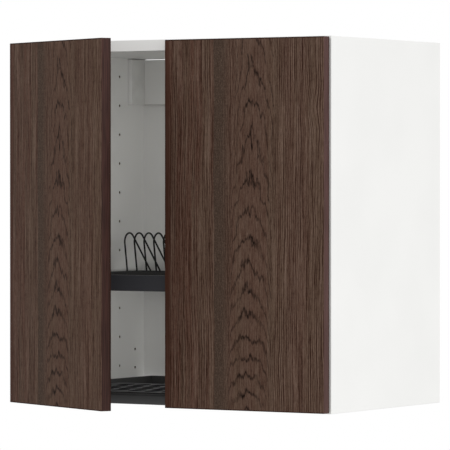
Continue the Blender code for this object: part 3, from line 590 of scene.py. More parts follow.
def band_material(name, light, dark, grey):
    """Edge banding in the doors' colour, a little redder, with a painted shade line at its rear."""
    g = Graph(name)
    lines = g.noise(g.place, BAND_LINE_SCALE, 2.0, 0.6)
    slow = g.noise(g.place, BAND_TONE_SCALE, 1.0)
    depth = g.split(g.place)[1]
    # Painted shade: a dark line where the band meets the door's rear face
    rear_shade = g.ramp(depth, DOOR_THICK - REAR_SHADE_LINE * 1.2, DOOR_THICK - REAR_SHADE_LINE * 0.8, 0.0, 0.8)
    colour = g.mix(g.ramp(lines, 0.38, 0.66), light, dark)
    colour = g.mix(g.ramp(slow, 0.35, 0.7, 0.0, 0.4), colour, grey)
    colour = g.mix(rear_shade, colour, DARK_STAIN_AND_SHADE)
    g.bump(lines, 0.00005, 0.3)
    return g.paint(colour, 0.5, specular=0.12)


def shade(tint, factor, lift=0.0):
    """The tint made lighter or darker."""
    return tuple(min(1.0, channel * factor + lift) for channel in tint)


def board_material(name, tint, roughness=0.38):
    """Melamine face: an even tone with the faint grain of its press plate."""
    g = Graph(name)
    plate = g.noise(g.place, 900.0, 3.0, 0.6)
    g.bump(plate, 0.00003, 0.35)
    colour = g.mix(g.ramp(g.noise(g.place, 6.0), *MIDDLE_RANGE), tint, shade(tint, 0.975))
    return g.paint(colour, g.ramp(plate, *MIDDLE_RANGE, roughness - 0.03, roughness + 0.04), specular=0.45)


def side_material():
    """White melamine of the sides, with raw chipboard where holes and grooves go in from the inner face."""
    material = board_material("white_melamine_side", WHITE_TINT)
    g = Graph(material)
    x, y, z = g.split(g.place)
    inner = HALF_WIDTH - BOARD
    half_depth = -FRONT / 2
    half_height = (TOP - BOTTOM) / 2
    raw = g.ramp(g.distance(x), inner + FACE_SKIN / 2, inner + FACE_SKIN)
    faces = ((x, 0.0, HALF_WIDTH), (y, -half_depth, half_depth), (z, TOP - half_height, half_height))
    for value, middle, half in faces:
        within = g.ramp(g.distance(value, middle), half - FACE_SKIN - FACE_FADE, half - FACE_SKIN, 1.0, 0.0)
        raw = g.times(raw, within)
    crumbs = g.ramp(g.noise(g.place, 1100.0, 2.0, 0.7), 0.35, 0.65)
    g.cover(raw, g.mix(crumbs, *CHIP_TINTS))
    return material


def rail_material():
    """The white of the back, with a painted shade line along the rail's lower edge."""
    material = board_material("white_hanging_rail", BACK_TINT, 0.5)
    g = Graph(material)
    foot = TOP - BOARD - RAIL_SLIT - COVER_HEIGHT
    # Painted shade: a dark line along the rail's lower edge
    g.cover(g.ramp(g.split(g.place)[2], foot + RAIL_FOOT_SHADE_HEIGHT / 2, foot + RAIL_FOOT_SHADE_HEIGHT, 0.7, 0.0), RAIL_FOOT_SHADE_TINT)
    return material


def plastic_material(name, tint, roughness, grain_scale=1400.0):
    """Moulded plastic with a fine spark-eroded grain."""
    g = Graph(name)
    speckle = g.noise(g.place, grain_scale, 2.0, 0.6)
    g.bump(speckle, 0.00004, 0.5)
    colour = g.mix(g.ramp(g.noise(g.place, 25.0), *MIDDLE_RANGE), tint, shade(tint, 1.12, 0.002))
    return g.paint(colour, g.ramp(speckle, *MIDDLE_RANGE, roughness - 0.05, roughness + 0.06))


def grid_material():
    """Dark plastic, satin on its flat top; its walls and openings dull and near-black as painted shade."""
    g = Graph("anthracite_grid_plastic")
    facing = g.node("TexCoord", {}).outputs["Normal"]
    flat = g.ramp(g.split(facing)[2], 0.90, 0.99)
    speckle = g.noise(g.place, 500.0, 2.0, 0.6)
    # Faces that are not flat tops get the near-black painted shade
    colour = g.mix(flat, GRID_WALL_SHADE_TINT, g.mix(g.ramp(speckle, *MIDDLE_RANGE), *GRID_TOP_TINTS))
    return g.paint(colour, g.scaled(flat, -0.22, 0.60), specular=g.scaled(flat, 0.10, 0.05))


def metal_material(name, tint, roughness, metallic=1.0, grain_scale=DRAWN_SCALE):
    """Plated or coated metal with faint drawing marks."""
    g = Graph(name)
    marks = g.noise(g.place, grain_scale, 2.0, 0.6)
    g.bump(marks, 0.00002, 0.3)
    colour = g.mix(g.ramp(marks, *MIDDLE_RANGE), tint, shade(tint, 1.1))
    return g.paint(colour, g.ramp(marks, *MIDDLE_RANGE, roughness - 0.05, roughness + 0.07), metallic)


def floor_material():
    """Pale floor that shows from above only."""
    g = Graph("pale_floor")
    g.paint(g.mix(g.ramp(g.noise(g.place, 1.5), *MIDDLE_RANGE), *FLOOR_TINTS), 0.8, specular=0.2)
    below = g.node("NewGeometry", {}).outputs["Backfacing"]
    g.choose(below, g.shader, g.node("BsdfTransparent", {}), "Material Output")
    return g.owner


def link(thing):
    bpy.context.scene.collection.objects.link(thing)
    return thing


def across(side, inward):
    """X of a place given as its distance in from a side panel's outer face."""
    return SIDES[side] * (HALF_WIDTH - inward)


def behind(distance):
    """Y of a place given as its distance behind the carcass's front edge."""
    return FRONT + distance


def above(height):
    """Z of a place given as its height over the carcass's lower edge."""
    return BOTTOM + height


def from_hinge(side, distance):
    """X in the door's own frame of a place given as its distance from the hinged edge."""
    return distance if side == "left" else DOOR_WIDTH - distance


def at(x, y, z):
    return Matrix.Translation((x, y, z))


def axes(x_axis, y_axis, z_axis):
    """Turn a drawing's axes into these directions."""
    return Matrix((x_axis, y_axis, z_axis)).transposed().to_4x4()


def thing_from(shape, name, *materials):
    mesh = bpy.data.meshes.new(name)
    shape.to_mesh(mesh)
    shape.free()
    thing = link(bpy.data.objects.new(name, mesh))
    for material in materials:
        thing.data.materials.append(material)
    return thing


def rounded(thing, angle=40):
    thing.data.shade_smooth()
    thing.data.set_sharp_from_angle(angle=math.radians(angle))
    return thing


def stand_for(thing, node, body):
    """The piece takes a solid's place and motion: the solid is hidden and the piece follows its body."""
    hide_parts(node)
    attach(thing, body)


def second_material(shape, chosen):
    """Give the second material to the faces whose normal is chosen."""
    shape.normal_update()
    for face in shape.faces:
        if chosen(face.normal):
            face.material_index = 1


def soft_block(shape, low, high, ease, segments=2, frame_of_box=Matrix()):
    """Add a box with rounded edges, its corners given in the box's frame."""
    low = Vector(low)
    high = Vector(high)
    matrix = frame_of_box @ Matrix.Translation((low + high) / 2) @ Matrix.Diagonal((*(high - low), 1))
    verts = bmesh.ops.create_cube(shape, size=1, matrix=matrix)["verts"]
    edges = list({edge for vert in verts for edge in vert.link_edges})
    bmesh.ops.bevel(shape, geom=edges, offset=ease, segments=segments, affect="EDGES", profile=0.5)
    return shape


def add_plate(shape, outlines, thickness, ease, matrix):
    """Add a plate with rounded edges, drawn in X and Y about z = 0: its rim first, then any holes."""
    curve = bpy.data.curves.new("plate_drawing", "CURVE")
    curve.dimensions = "2D"
    curve.fill_mode = "BOTH"
    curve.extrude = thickness / 2 - ease
    curve.bevel_depth = ease
    curve.bevel_resolution = 2
    curve.offset = -ease
    for outline in outlines:
        spline = curve.splines.new("POLY")
        spline.points.add(len(outline) - 1)
        for point, (u, v) in zip(spline.points, outline):
            point.co = (u, v, 0, 1)
        spline.use_cyclic_u = True
    drawing = link(bpy.data.objects.new("plate_drawing", curve))
    mesh = evaluated_mesh(drawing)
    bpy.data.objects.remove(drawing)
    mesh.transform(matrix)
    shape.from_mesh(mesh)
    bpy.data.meshes.remove(mesh)
    bmesh.ops.remove_doubles(shape, verts=shape.verts, dist=SAME_PLACE)
    return shape


def evaluated_mesh(thing):
    """The mesh of a thing as its curve or modifiers make it."""
    bpy.context.view_layer.update()
    return bpy.data.meshes.new_from_object(thing.evaluated_get(bpy.context.evaluated_depsgraph_get()))


def arc(centre, radius, first, last, steps):
    """Points on an arc, angles in degrees."""
    points = []
    for step in range(steps + 1):
        angle = math.radians(first + (last - first) * step / steps)
        points.append((centre[0] + radius * math.cos(angle), centre[1] + radius * math.sin(angle)))
    return points


def circle(centre, radius, sides):
    return arc(centre, radius, 0, 360, sides)[:-1]


def bend(start, corner, end, steps):
    """Points of a short curve that rounds a corner."""
    shares = [step / steps for step in range(steps + 1)]
    return [start.lerp(corner, share).lerp(corner.lerp(end, share), share) for share in shares]


def round_corners(points, radius, steps=4):
    """An outline with its corners replaced by short curves."""
    rounded_points = []
    for index, point in enumerate(points):
        here = Vector(point)
        before = Vector(points[index - 1]) - here
        after = Vector(points[(index + 1) % len(points)]) - here
        reach = min(radius, before.length * CORNER_SHARE, after.length * CORNER_SHARE)
        start = here + before.normalized() * reach
        rounded_points += bend(start, here, here + after.normalized() * reach, steps)
    return rounded_points


def skin(shape, rings):
    """Add faces between rings of corners, one after the other. A ring of one corner is a tip."""
    faces = []
    for ring, following in zip(rings, rings[1:]):
        sides = max(len(ring), len(following))
        for corner in range(sides):
            other = (corner + 1) % sides
            corners = [ring[corner % len(ring)], ring[other % len(ring)]]
            corners += [following[other % len(following)], following[corner % len(following)]]
            faces.append(shape.faces.new(list(dict.fromkeys(corners))))
    return faces


def lathe(shape, profile, matrix, sides):
    """Add a profile of (radius, height) points turned about the Z axis. Radius 0 makes a tip."""
    rings = []
    for radius, height in profile:
        plan = circle((0, 0), radius, sides) if radius else [(0, 0)]
        rings.append([shape.verts.new(matrix @ Vector((x, y, height))) for x, y in plan])
    bmesh.ops.recalc_face_normals(shape, faces=skin(shape, rings))
    return shape


def tube(shape, points, radius, sides):
    """Add a round wire along points, with a small dome at each end."""
    points = [Vector(point) for point in points]
    legs = [(end - start).normalized() for start, end in zip(points, points[1:])]
    headings = [(before + after).normalized() for before, after in zip([legs[0], *legs], [*legs, legs[-1]])]
    normal = headings[0].orthogonal().normalized()
    stations = [(points[0] - headings[0] * radius * DOME_REACH, headings[0], radius * DOME_TOP)]
    stations += [(point, heading, radius) for point, heading in zip(points, headings)]
    stations.append((points[-1] + headings[-1] * radius * DOME_REACH, headings[-1], radius * DOME_TOP))
    rings = []
    for place, heading, ring_radius in stations:
        normal = (normal - heading * normal.dot(heading)).normalized()
        side = heading.cross(normal)
        plan = circle((0, 0), ring_radius, sides)
        rings.append([shape.verts.new(place + normal * u + side * v) for u, v in plan])
    ends = [shape.faces.new(rings[0]), shape.faces.new(rings[-1])]
    bmesh.ops.recalc_face_normals(shape, faces=ends + skin(shape, rings))


def button(shape, crown, radius, height, matrix):
    """Add a domed head, its section given in shares of radius and height."""
    return lathe(shape, [(radius * out, height * up) for out, up in crown], matrix, BUTTON_SIDES)


def add_screw(shape, place, turn, radius, height):
    """A raised head with a dark cross on its crown, facing along the turned Z axis. The dark cross is painted
    shade for the head's recess.
    """
    matrix = Matrix.Translation(place) @ turn
    button(shape, SCREW_CROWN, radius, height, matrix)
    length = radius * CROSS_LENGTH
    half = radius * CROSS_HALF
    low, high = (height * share for share in CROSS_LEVELS)
    head = set(shape.faces)
    for angle in (0, math.pi / 2):
        turned = matrix @ Matrix.Rotation(angle, 4, "Z")
        soft_block(shape, (-length, -half, low), (length, half, high), half * CROSS_EASE, 1, turned)
    # The cross takes the dark painted shade material
    for face in set(shape.faces) - head:
        face.material_index = 1


def bored_door(side, veneer, band):
    """Door slab in its own frame: X from its left edge, Y from its front, Z from its foot."""
    shape = soft_block(bmesh.new(), (0, 0, 0), (DOOR_WIDTH, DOOR_THICK, DOOR_HEIGHT), DOOR_EASE, 3)
    second_material(shape, lambda normal: abs(normal.y) < 0.5)
    door = rounded(thing_from(shape, f"veneered_door_{side}", veneer, band), 50)
    cutter = bmesh.new()
    for level in HINGE_LEVELS.values():
        depth = DOOR_THICK - (CUP_SINK - BORE_OVERRUN) / 2
        place = at(from_hinge(side, CUP_FROM_EDGE), depth, level - REVEAL)
        bmesh.ops.create_cone(
            cutter, cap_ends=True, segments=BORE_SIDES, radius1=CUP_BORE, radius2=CUP_BORE,
            depth=CUP_SINK + BORE_OVERRUN, matrix=place @ Matrix.Rotation(math.radians(90), 4, "X"),
        )
    tool = thing_from(cutter, f"cup_bore_tool_{side}", band)
    modifier = door.modifiers.new("Cup bores", "BOOLEAN")
    modifier.object = tool
    modifier.solver = "EXACT"
    mesh = evaluated_mesh(door)
    door.modifiers.clear()
    door.data = mesh
    bpy.data.objects.remove(tool)
    return door


def door_place(side):
    """Where a door's own frame lies at rest: turned by its swing, with its corner on the solid's corner."""
    turn = Matrix.Rotation(math.radians(-LEFT_DOOR_SWING if side == "left" else 0.0), 4, "Z")
    backwards = turn.inverted()
    points = [backwards @ vertex.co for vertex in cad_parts[f"door_{side}"].data.vertices]
    return turn @ at(*(min(point[axis] for point in points) for axis in range(3)))


def make_door(side, veneer, band):
    door = bored_door(side, veneer, band)
    door.matrix_world = door_place(side)
    stand_for(door, f"door_{side}", f"{side}_door")


def make_bumpers(side, material):
    """Domed pads near the door's free edge."""
    x = from_hinge(side, DOOR_WIDTH - BUMPER_INSET)
    levels = {"upper": TOP - BOARD / 2, "lower": above((TRAY_BOTTOM + TRAY_FRONT_TOP) / 2)}
    for label, level in levels.items():
        face = at(x, DOOR_THICK + CLEARANCE, level - BOTTOM - REVEAL) @ FACING_BACK
        shape = button(bmesh.new(), PAD_CROWN, BUMPER_RADIUS, BUMPER_THICK, face)
        pad = rounded(thing_from(shape, f"soft_pad_{side}_{label}", material))
        pad.matrix_world = door_place(side)
        stand_for(pad, f"door_bumper_{side}_{label}", f"{side}_door")


def flange_outline():
    """A round flange with an ear above and below, about its middle."""
    ear = FLANGE_EAR_HALF_WIDTH
    reach = math.degrees(math.acos(ear / FLANGE_HALF_WIDTH))
    points = []
    for turn, sign in ((0, 1), (180, -1)):
        points += arc((0, 0), FLANGE_HALF_WIDTH, turn - reach, turn + reach, ARC_STEPS["flange"])
        points += arc((0, sign * (FLANGE_HALF_HEIGHT - ear)), ear, turn, turn + 180, ARC_STEPS["ear"])
    return points


def make_hinge_cup(side, label, metal, recess):
    """Drawn cup with its flange, two screws and the pin across it, in the door's own frame."""
    x = from_hinge(side, CUP_FROM_EDGE)
    level = HINGE_LEVELS[label] - REVEAL
    seat = DOOR_THICK + CLEARANCE
    place = at(x, seat, level) @ FACING_BACK
    bore = CUP_RADIUS - CUP_WALL
    floor = -CUP_DEPTH - CLEARANCE
    shape = bmesh.new()
    outline = [(u, -v) for u, v in flange_outline()]
    middle = place @ at(0, 0, FLANGE_THICK / 2)
    add_plate(shape, [outline, circle((0, 0), bore, FLANGE_SIDES)], FLANGE_THICK, FLANGE_EASE, middle)
    wall = [
        (0, floor), (CUP_RADIUS - CUP_FLOOR_ROUND, floor), (CUP_RADIUS, floor + CUP_FLOOR_ROUND),
        (CUP_RADIUS, FLANGE_THICK / 2), (bore, FLANGE_THICK / 2), (bore, floor + CUP_FLOOR_ROUND),
        (bore - CUP_INNER_ROUND, floor + CUP_WALL), (0, floor + CUP_WALL),
    ]
    lathe(shape, wall, place, CUP_SIDES)
    pin_x = from_hinge(side, CUP_PIN_IN - REVEAL)
    pin_y = DOOR_THICK + DOOR_GAP - CUP_PIN_OUT
    half = math.sqrt(bore ** 2 - (pin_x - x) ** 2)
    tube(shape, [(pin_x, pin_y, level - half), (pin_x, pin_y, level + half)], PIN_RADIUS, PIN_SIDES)
    for offset in (-EAR_SCREW_OFFSET, EAR_SCREW_OFFSET):
        spot = (x, seat + FLANGE_THICK, level + offset)
        add_screw(shape, spot, FACING_BACK, EAR_SCREW_RADIUS, EAR_SCREW_HEIGHT)
    cup = rounded(thing_from(shape, f"drawn_cup_{side}_{label}", metal, recess))
    cup.matrix_world = door_place(side)
    stand_for(cup, f"hinge_cup_{side}_{label}", f"{side}_door")


def make_hinge_plate(side, label, metal, recess):
    """Winged mounting plate with its rib and two screws."""
    wing = PLATE_WING_HALF
    body = PLATE_BODY_HALF
    half = PLATE_HALF_HEIGHT
    lower = [
        (-PLATE_NOSE - wing, -body), (-wing, -body), (-wing, -half + wing), (-wing / 2, -half),
        (wing / 2, -half), (wing, -half + wing), (wing, -body), (PLATE_TAIL, -body),
    ]
    outline = round_corners(lower + [(u, -v) for u, v in reversed(lower)], PLATE_CORNER)
    turn = axes((0, 1, 0), (0, 0, 1), (-SIDES[side], 0, 0))
    place = at(across(side, INNER), behind(PLATE_ROW), above(HINGE_LEVELS[label])) @ turn
    shape = add_plate(bmesh.new(), [outline], PLATE_THICK, EASE, place @ at(0, 0, PLATE_THICK / 2))
    rib_low = (-wing, -PLATE_RIB_HALF, PLATE_THICK / 2)
    rib_high = (PLATE_TAIL - wing / 2, PLATE_RIB_HALF, PLATE_THICK + PLATE_RIB_HEIGHT)
    soft_block(shape, rib_low, rib_high, RIB_EASE, frame_of_box=place)
    for offset in (-PLATE_SCREW_OFFSET, PLATE_SCREW_OFFSET):
        spot = place @ Vector((0, offset, PLATE_THICK))
        add_screw(shape, spot, turn, PLATE_SCREW_RADIUS, PLATE_SCREW_HEIGHT)
    # A mirrored placement turns faces in
    bmesh.ops.recalc_face_normals(shape, faces=shape.faces)
    plate = rounded(thing_from(shape, f"winged_plate_{side}_{label}", metal, recess))
    stand_for(plate, f"hinge_plate_{side}_{label}", "carcass")


def make_hinge_arm(side, label, metal, recess):
    """Channel-shaped arm: two cheeks, a web with its adjusting and fixing screws, and the nose pin."""
    z = above(HINGE_LEVELS[label])
    foot = INNER + PLATE_THICK + CLEARANCE
    web_in = ARM_PIN_IN + EYE_RADIUS + CLEARANCE
    outer = web_in + ARM_WEB
    points = arc((ARM_PIN_IN, -ARM_PIN_OUT), ARM_NOSE, 180, 300, ARC_STEPS["arm nose"]) + [
        (outer, -ARM_PIN_OUT), (outer, ARM_REACH - ARM_WEB), (outer - ARM_WEB, ARM_REACH),
        (foot, ARM_REACH), (foot, 2 * ARM_SHOULDER), (ARM_PIN_IN - ARM_NOSE, ARM_SHOULDER),
    ]
    cheek = [(across(side, inward), behind(back)) for inward, back in points]
    shape = bmesh.new()
    for sign in (-1, 1):
        add_plate(shape, [cheek], ARM_CHEEK, EASE, at(0, 0, z + sign * (ARM_HALF_HEIGHT - ARM_CHEEK / 2)))
    web = sorted((across(side, web_in), across(side, outer)))
    web_half = ARM_HALF_HEIGHT - EASE
    web_low = (web[0], behind(-ARM_PIN_OUT), z - web_half)
    soft_block(shape, web_low, (web[1], behind(ARM_REACH - ARM_WEB), z + web_half), EASE)
    half = ARM_HALF_HEIGHT + PIN_OVERRUN
    pin = (across(side, ARM_PIN_IN), behind(-ARM_PIN_OUT))
    tube(shape, [(*pin, z - half), (*pin, z + half)], PIN_RADIUS, PIN_SIDES)
    inward = -SIDES[side]
    turn = axes((0, 0, 1), (0, -inward, 0), (inward, 0, 0))
    for back, radius in ARM_SCREWS:
        add_screw(shape, (across(side, outer), behind(back), z), turn, radius, ARM_SCREW_HEIGHT)
    arm = rounded(thing_from(shape, f"channel_arm_{side}_{label}", metal, recess))
    stand_for(arm, f"hinge_arm_{side}_{label}", "carcass")


def make_hinge_link(side, label, metal):
    """Link with rolled eyes, at rest between the arm's pin and the cup's pin."""
    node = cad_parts[f"hinge_link_{side}_{label}"]
    first = Vector((across(side, ARM_PIN_IN), behind(-ARM_PIN_OUT)))
    closed = Vector((across(side, CUP_PIN_IN), behind(-CUP_PIN_OUT)))
    farthest = max(node.data.vertices, key=lambda vertex: (vertex.co.xy - first).length)
    heading = (farthest.co.xy - first).normalized()
    second = first + heading * (closed - first).length
    angle = math.degrees(math.atan2(heading.y, heading.x))
    meet = math.degrees(math.asin(LINK_THICK / 2 / EYE_RADIUS))
    outline = []
    for eye, start in ((first, angle), (second, angle - 180)):
        outline += arc(eye, EYE_RADIUS, start + meet, start + 360 - meet, EYE_SIDES)
    holes = [circle(eye, PIN_RADIUS, EYE_SIDES) for eye in (first, second)]
    place = at(0, 0, above(HINGE_LEVELS[label]))
    shape = add_plate(bmesh.new(), [outline, *holes], 2 * LINK_HALF_HEIGHT, EASE, place)
    bar = rounded(thing_from(shape, f"eyed_link_{side}_{label}", metal))
    stand_for(bar, f"hinge_link_{side}_{label}", f"{side}_hinge_links")


def channel_outline(front, depth, high, sense):
    """Section of a frame rail: front wall, floor and top lip."""
    low = above(RACK_LEVEL)
    wall = front + sense * RAIL_SKIN
    rear = front + sense * depth
    lip = front + sense * RAIL_LIP_DEPTH
    corners = [
        (front, low), (rear, low), (rear, low + RAIL_SKIN), (wall, low + RAIL_SKIN),
        (wall, high - RAIL_SKIN), (lip, high - RAIL_SKIN), (lip, high), (front, high),
    ]
    return round_corners(corners, RAIL_ROUND, 3)


def make_rack_rails(front_coat, shaded_rear_coat):
    """Folded rails in front and behind, with rounded bends; the rear one in the coat darkened as painted
    shade.
    """
    end = HALF_WIDTH - INNER - END_BRACKET_SKIN - CLEARANCE
    high = above(RACK_LEVEL + RACK_FRAME_HEIGHT)
    front = channel_outline(behind(FRAME_SETBACK), RAIL_FLOOR_DEPTH, high, 1)
    rear = channel_outline(behind(REAR_RAIL_BACK), REAR_RAIL_DEPTH, high - RAIL_SKIN, -1)
    for label, outline, coat in (("front", front, front_coat), ("rear", rear, shaded_rear_coat)):
        shape = add_plate(bmesh.new(), [outline], 2 * end, FOLD_EASE, axes((0, 1, 0), (0, 0, 1), (1, 0, 0)))
        rail = rounded(thing_from(shape, f"folded_{label}_rail", coat), 30)
        stand_for(rail, f"rack_{label}_rail", "carcass")


def hoop_points():
    """One dividing wire in Y and Z, the Y of the bend at its foot, and the rods' level."""
    rod_level = above(RACK_LEVEL + LEDGE_RISE) + CLEARANCE + SIDE_WIRE_RADIUS
    level = rod_level + ROD_RADIUS + WIRE_RADIUS - WELD
    nose = Vector((behind(HOOP_NOSE), above(HOOP_TOP) - WIRE_RADIUS - HOOP_BEND_RADIUS))
    near = math.radians(NEAR_LEG_LEAN)
    near_top = nose - HOOP_BEND_RADIUS * Vector((math.cos(near), math.sin(near)))
    corner = Vector((near_top.x + (near_top.y - level) * math.tan(near), level))
    set_back = FOOT_BEND_RADIUS * math.tan(math.radians(90 - NEAR_LEG_LEAN) / 2)
    start = corner - Vector((set_back, 0))
    points = [Vector((behind(FRONT_ROD - WIRE_OVERHANG), level))]
    end = corner + (near_top - corner).normalized() * set_back
    points += bend(start, corner, end, ARC_STEPS["hoop foot"])
    top = arc(nose, HOOP_BEND_RADIUS, 180 + NEAR_LEG_LEAN, FAR_LEG_LEAN, ARC_STEPS["hoop"])
    points += [Vector(point) for point in top]
    last = points[-1]
    points.append(Vector((last.x + (last.y - rod_level) * math.tan(math.radians(FAR_LEG_LEAN)), rod_level)))
    return points, start.x, rod_level


def make_plate_rack(coat):
    """Smooth coated side wires, cross rods and the row of hoops, with a bead of weld where they cross."""
    edge = HALF_WIDTH - INNER - END_BRACKET_SKIN - CLEARANCE - SIDE_WIRE_RADIUS - LEDGE_WIDTH / 3
    points, foot, level = hoop_points()
    rods = (behind(FRONT_ROD), foot - ROD_RADIUS, points[-1].x)
    shape = bmesh.new()
    for x in (-edge, edge):
        ends = [(x, rods[0] - 2 * ROD_RADIUS, level), (x, rods[-1] + 2 * ROD_RADIUS, level)]
        tube(shape, ends, SIDE_WIRE_RADIUS, ROD_SIDES)
    for y in rods:
        tube(shape, [(-edge, y, level), (edge, y, level)], ROD_RADIUS, ROD_SIDES)
    for index in range(HOOP_COUNT):
        x = HOOP_PITCH * (index - (HOOP_COUNT - 1) / 2)
        tube(shape, [(x, point.x, point.y) for point in points], WIRE_RADIUS, WIRE_SIDES)
        for y in rods:
            add_weld(shape, (x, y, level + ROD_RADIUS - WELD))
    rack = rounded(thing_from(shape, "welded_plate_rack", coat))
    stand_for(rack, "plate_rack", "plate_rack")


def add_weld(shape, place):
    """A small bead where two wires cross, under the coat."""
    bead = bmesh.ops.create_icosphere(shape, subdivisions=2, radius=WIRE_RADIUS)
    matrix = Matrix.Translation(place) @ Matrix.Diagonal((*WELD_SHARES, 1))
    bmesh.ops.transform(shape, matrix=matrix, verts=bead["verts"])


def rounded_rectangle(half_width, front, rear, radius):
    """Plan outline, from the front left corner round to the right and back."""
    points = []
    low = front + radius
    high = rear - radius
    for sign, y, turn in ((-1, low, 180), (1, low, 270), (1, high, 0), (-1, high, 90)):
        centre = (sign * (half_width - radius), y)
        points += arc(centre, radius, turn, turn + 90, ARC_STEPS["plan corner"])
    return points


def denser(points):
    """The outline with points added on its long sides just behind the front corners, where the rim rises."""
    result = []
    for index, point in enumerate(points):
        here = Vector(point)
        run = Vector(points[(index + 1) % len(points)]) - here
        result.append(here)
        if abs(run.y) > 4 * TRAY_CORNER:
            backwards = run.normalized() * math.copysign(1, run.y)
            front_end = here if run.y > 0 else here + run
            added = [front_end + backwards * TRAY_CORNER * share for share in RIM_SHARES]
            result += added if run.y > 0 else reversed(added)
    return result


def rim_height(y):
    """Top of the tray's wall: low in front, then up to the full rim."""
    share = (y - behind(FRAME_SETBACK)) / TRAY_CORNER - RIM_START
    share = min(1.0, max(0.0, share))
    eased = share * share * (3 - 2 * share)
    return above(TRAY_FRONT_TOP + (TRAY_RIM_TOP - TRAY_FRONT_TOP) * eased)


def tray_section(low, floor):
    """Foot, groove, rim and floor of the wall: distance in, level, and drop under the rim if no level."""
    foot, foot_cut = TRAY_FOOT_ROUND
    rim, rim_cut = TRAY_RIM_ROUND
    fillet, fillet_cut = TRAY_FILLET
    outside = [(foot, low, None), (foot_cut, low + foot_cut, None), (0.0, low + foot, None)]
    groove = [(inset, None, drop) for inset, drop in TRAY_GROOVE]
    top = [(0.0, None, rim), (rim_cut, None, rim_cut), (rim, None, 0.0)]
    top += [(TRAY_SKIN - inset, None, drop) for inset, _, drop in reversed(top)]
    inside = [(0.0, floor + fillet), (fillet_cut, floor + fillet_cut), (fillet, floor)]
    return outside + groove + top + [(TRAY_SKIN + inset, level, None) for inset, level in inside]


def make_tray(material):
    """Moulded tray: rounded corners, a low front, a flange along each side and a rib behind the grid."""
    half = HALF_WIDTH - TRAY_SIDE_IN
    front = behind(FRAME_SETBACK)
    rear = behind(TRAY_REAR)
    low = above(TRAY_BOTTOM)
    floor = low + TRAY_SKIN
    shape = bmesh.new()
    rings = []
    for inset, level, drop in tray_section(low, floor):
        radius = max(TRAY_ROUND - inset, EASE)
        outline = denser(rounded_rectangle(half - inset, front + inset, rear - inset, radius))
        places = [(u, v, rim_height(v) - drop if level is None else level) for u, v in outline]
        rings.append([shape.verts.new(place) for place in places])
    skin(shape, rings)
    shape.faces.new(rings[0])
    shape.faces.new(rings[-1])
    bmesh.ops.recalc_face_normals(shape, faces=shape.faces)
    flange = above(TRAY_FLANGE_TOP)
    inside = half - TRAY_SKIN / 2
    for sign in SIDES.values():
        edges = sorted((sign * (HALF_WIDTH - INNER - CLEARANCE), sign * inside))
        flange_low = (edges[0], front + TRAY_CORNER, flange - TRAY_FLANGE_THICK)
        soft_block(shape, flange_low, (edges[1], rear, flange), RIB_EASE)
    rib = behind(GRID_REAR) + CLEARANCE
    rib_high = (inside, rib + TRAY_RIB_THICK, floor + TRAY_RIB_HEIGHT)
    soft_block(shape, (-inside, rib, floor - TRAY_SKIN / 2), rib_high, RIB_EASE)
    tray = rounded(thing_from(shape, "moulded_tray", material), 50)
    stand_for(tray, "drip_tray", "drip_tray")


def lens_outline(x, y):
    """One opening with two curved sides."""
    points = []
    for side in (1, -1):
        for step in range(LENS_STEPS):
            share = side * (2 * step / LENS_STEPS - 1)
            half_width = LENS_HALF_WIDTH * (1 - share * share) ** LENS_TAPER
            points.append((x + side * half_width, y + LENS_HALF_LENGTH * share))
    return points


def lens_places(half_width, front, rear):
    """Middles of the openings, every other row set over by half a pitch."""
    usable = half_width - GRID_BORDER - LENS_HALF_WIDTH
    rows = math.floor((rear - front - 2 * GRID_BORDER - 2 * LENS_HALF_LENGTH) / LENS_ROW_PITCH) + 1
    centres = []
    for row in range(rows):
        y = (front + rear) / 2 + (row - (rows - 1) / 2) * LENS_ROW_PITCH
        odd = row % 2
        reach = math.floor(usable / LENS_PITCH + odd / 2)
        centres += [(LENS_PITCH * (column + odd / 2), y) for column in range(-reach, reach + 1 - odd)]
    return centres


def make_grid(material):
    """Moulded grid: a pierced plate with rounded edges, on its skirt."""
    half = HALF_WIDTH - TRAY_SIDE_IN - TRAY_SKIN - GRID_MARGIN
    front = behind(FRAME_SETBACK) + TRAY_SKIN + GRID_MARGIN
    rear = behind(GRID_REAR)
    floor = above(TRAY_BOTTOM) + TRAY_SKIN + CLEARANCE
    plate_middle = above(GRID_TOP) - GRID_THICK / 2
    outline = rounded_rectangle(half, front, rear, GRID_CORNER)
    holes = [lens_outline(x, y) for x, y in lens_places(half, front, rear)]
    shape = add_plate(bmesh.new(), [outline, *holes], GRID_THICK, GRID_EASE, at(0, 0, plate_middle))
    skirt = rounded_rectangle(half - GRID_SKIRT, front + GRID_SKIRT, rear - GRID_SKIRT, GRID_CORNER / 2)
    add_plate(shape, [outline, skirt], plate_middle - floor, EASE, at(0, 0, (floor + plate_middle) / 2))
    grid = rounded(thing_from(shape, "pierced_grid", material), 45)
    stand_for(grid, "tray_insert", "tray_insert")


def make_bracket_cover(side, material, lit_front_material):
    """Cap over the hanging bracket, against the rail: its sides darkened as painted shade, its narrow front
    lighter as painted light.
    """
    rail_top = TOP - BOARD - RAIL_SLIT
    rear = -RAIL_THICK - CLEARANCE
    edges = sorted((across(side, INNER), across(side, INNER + COVER_THICK)))
    low = (edges[0], rear - COVER_WIDTH, rail_top - COVER_HEIGHT)
    shape = soft_block(bmesh.new(), low, (edges[1], rear, rail_top), EASE)
    second_material(shape, lambda normal: normal.y < -0.5)
    cover = rounded(thing_from(shape, f"bracket_cap_{side}", material, lit_front_material))
    stand_for(cover, f"bracket_cover_{side}", "carcass")


def repaint(material, *names):
    for name in names:
        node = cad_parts[name]
        node.data.materials.clear()
        node.data.materials.append(material)


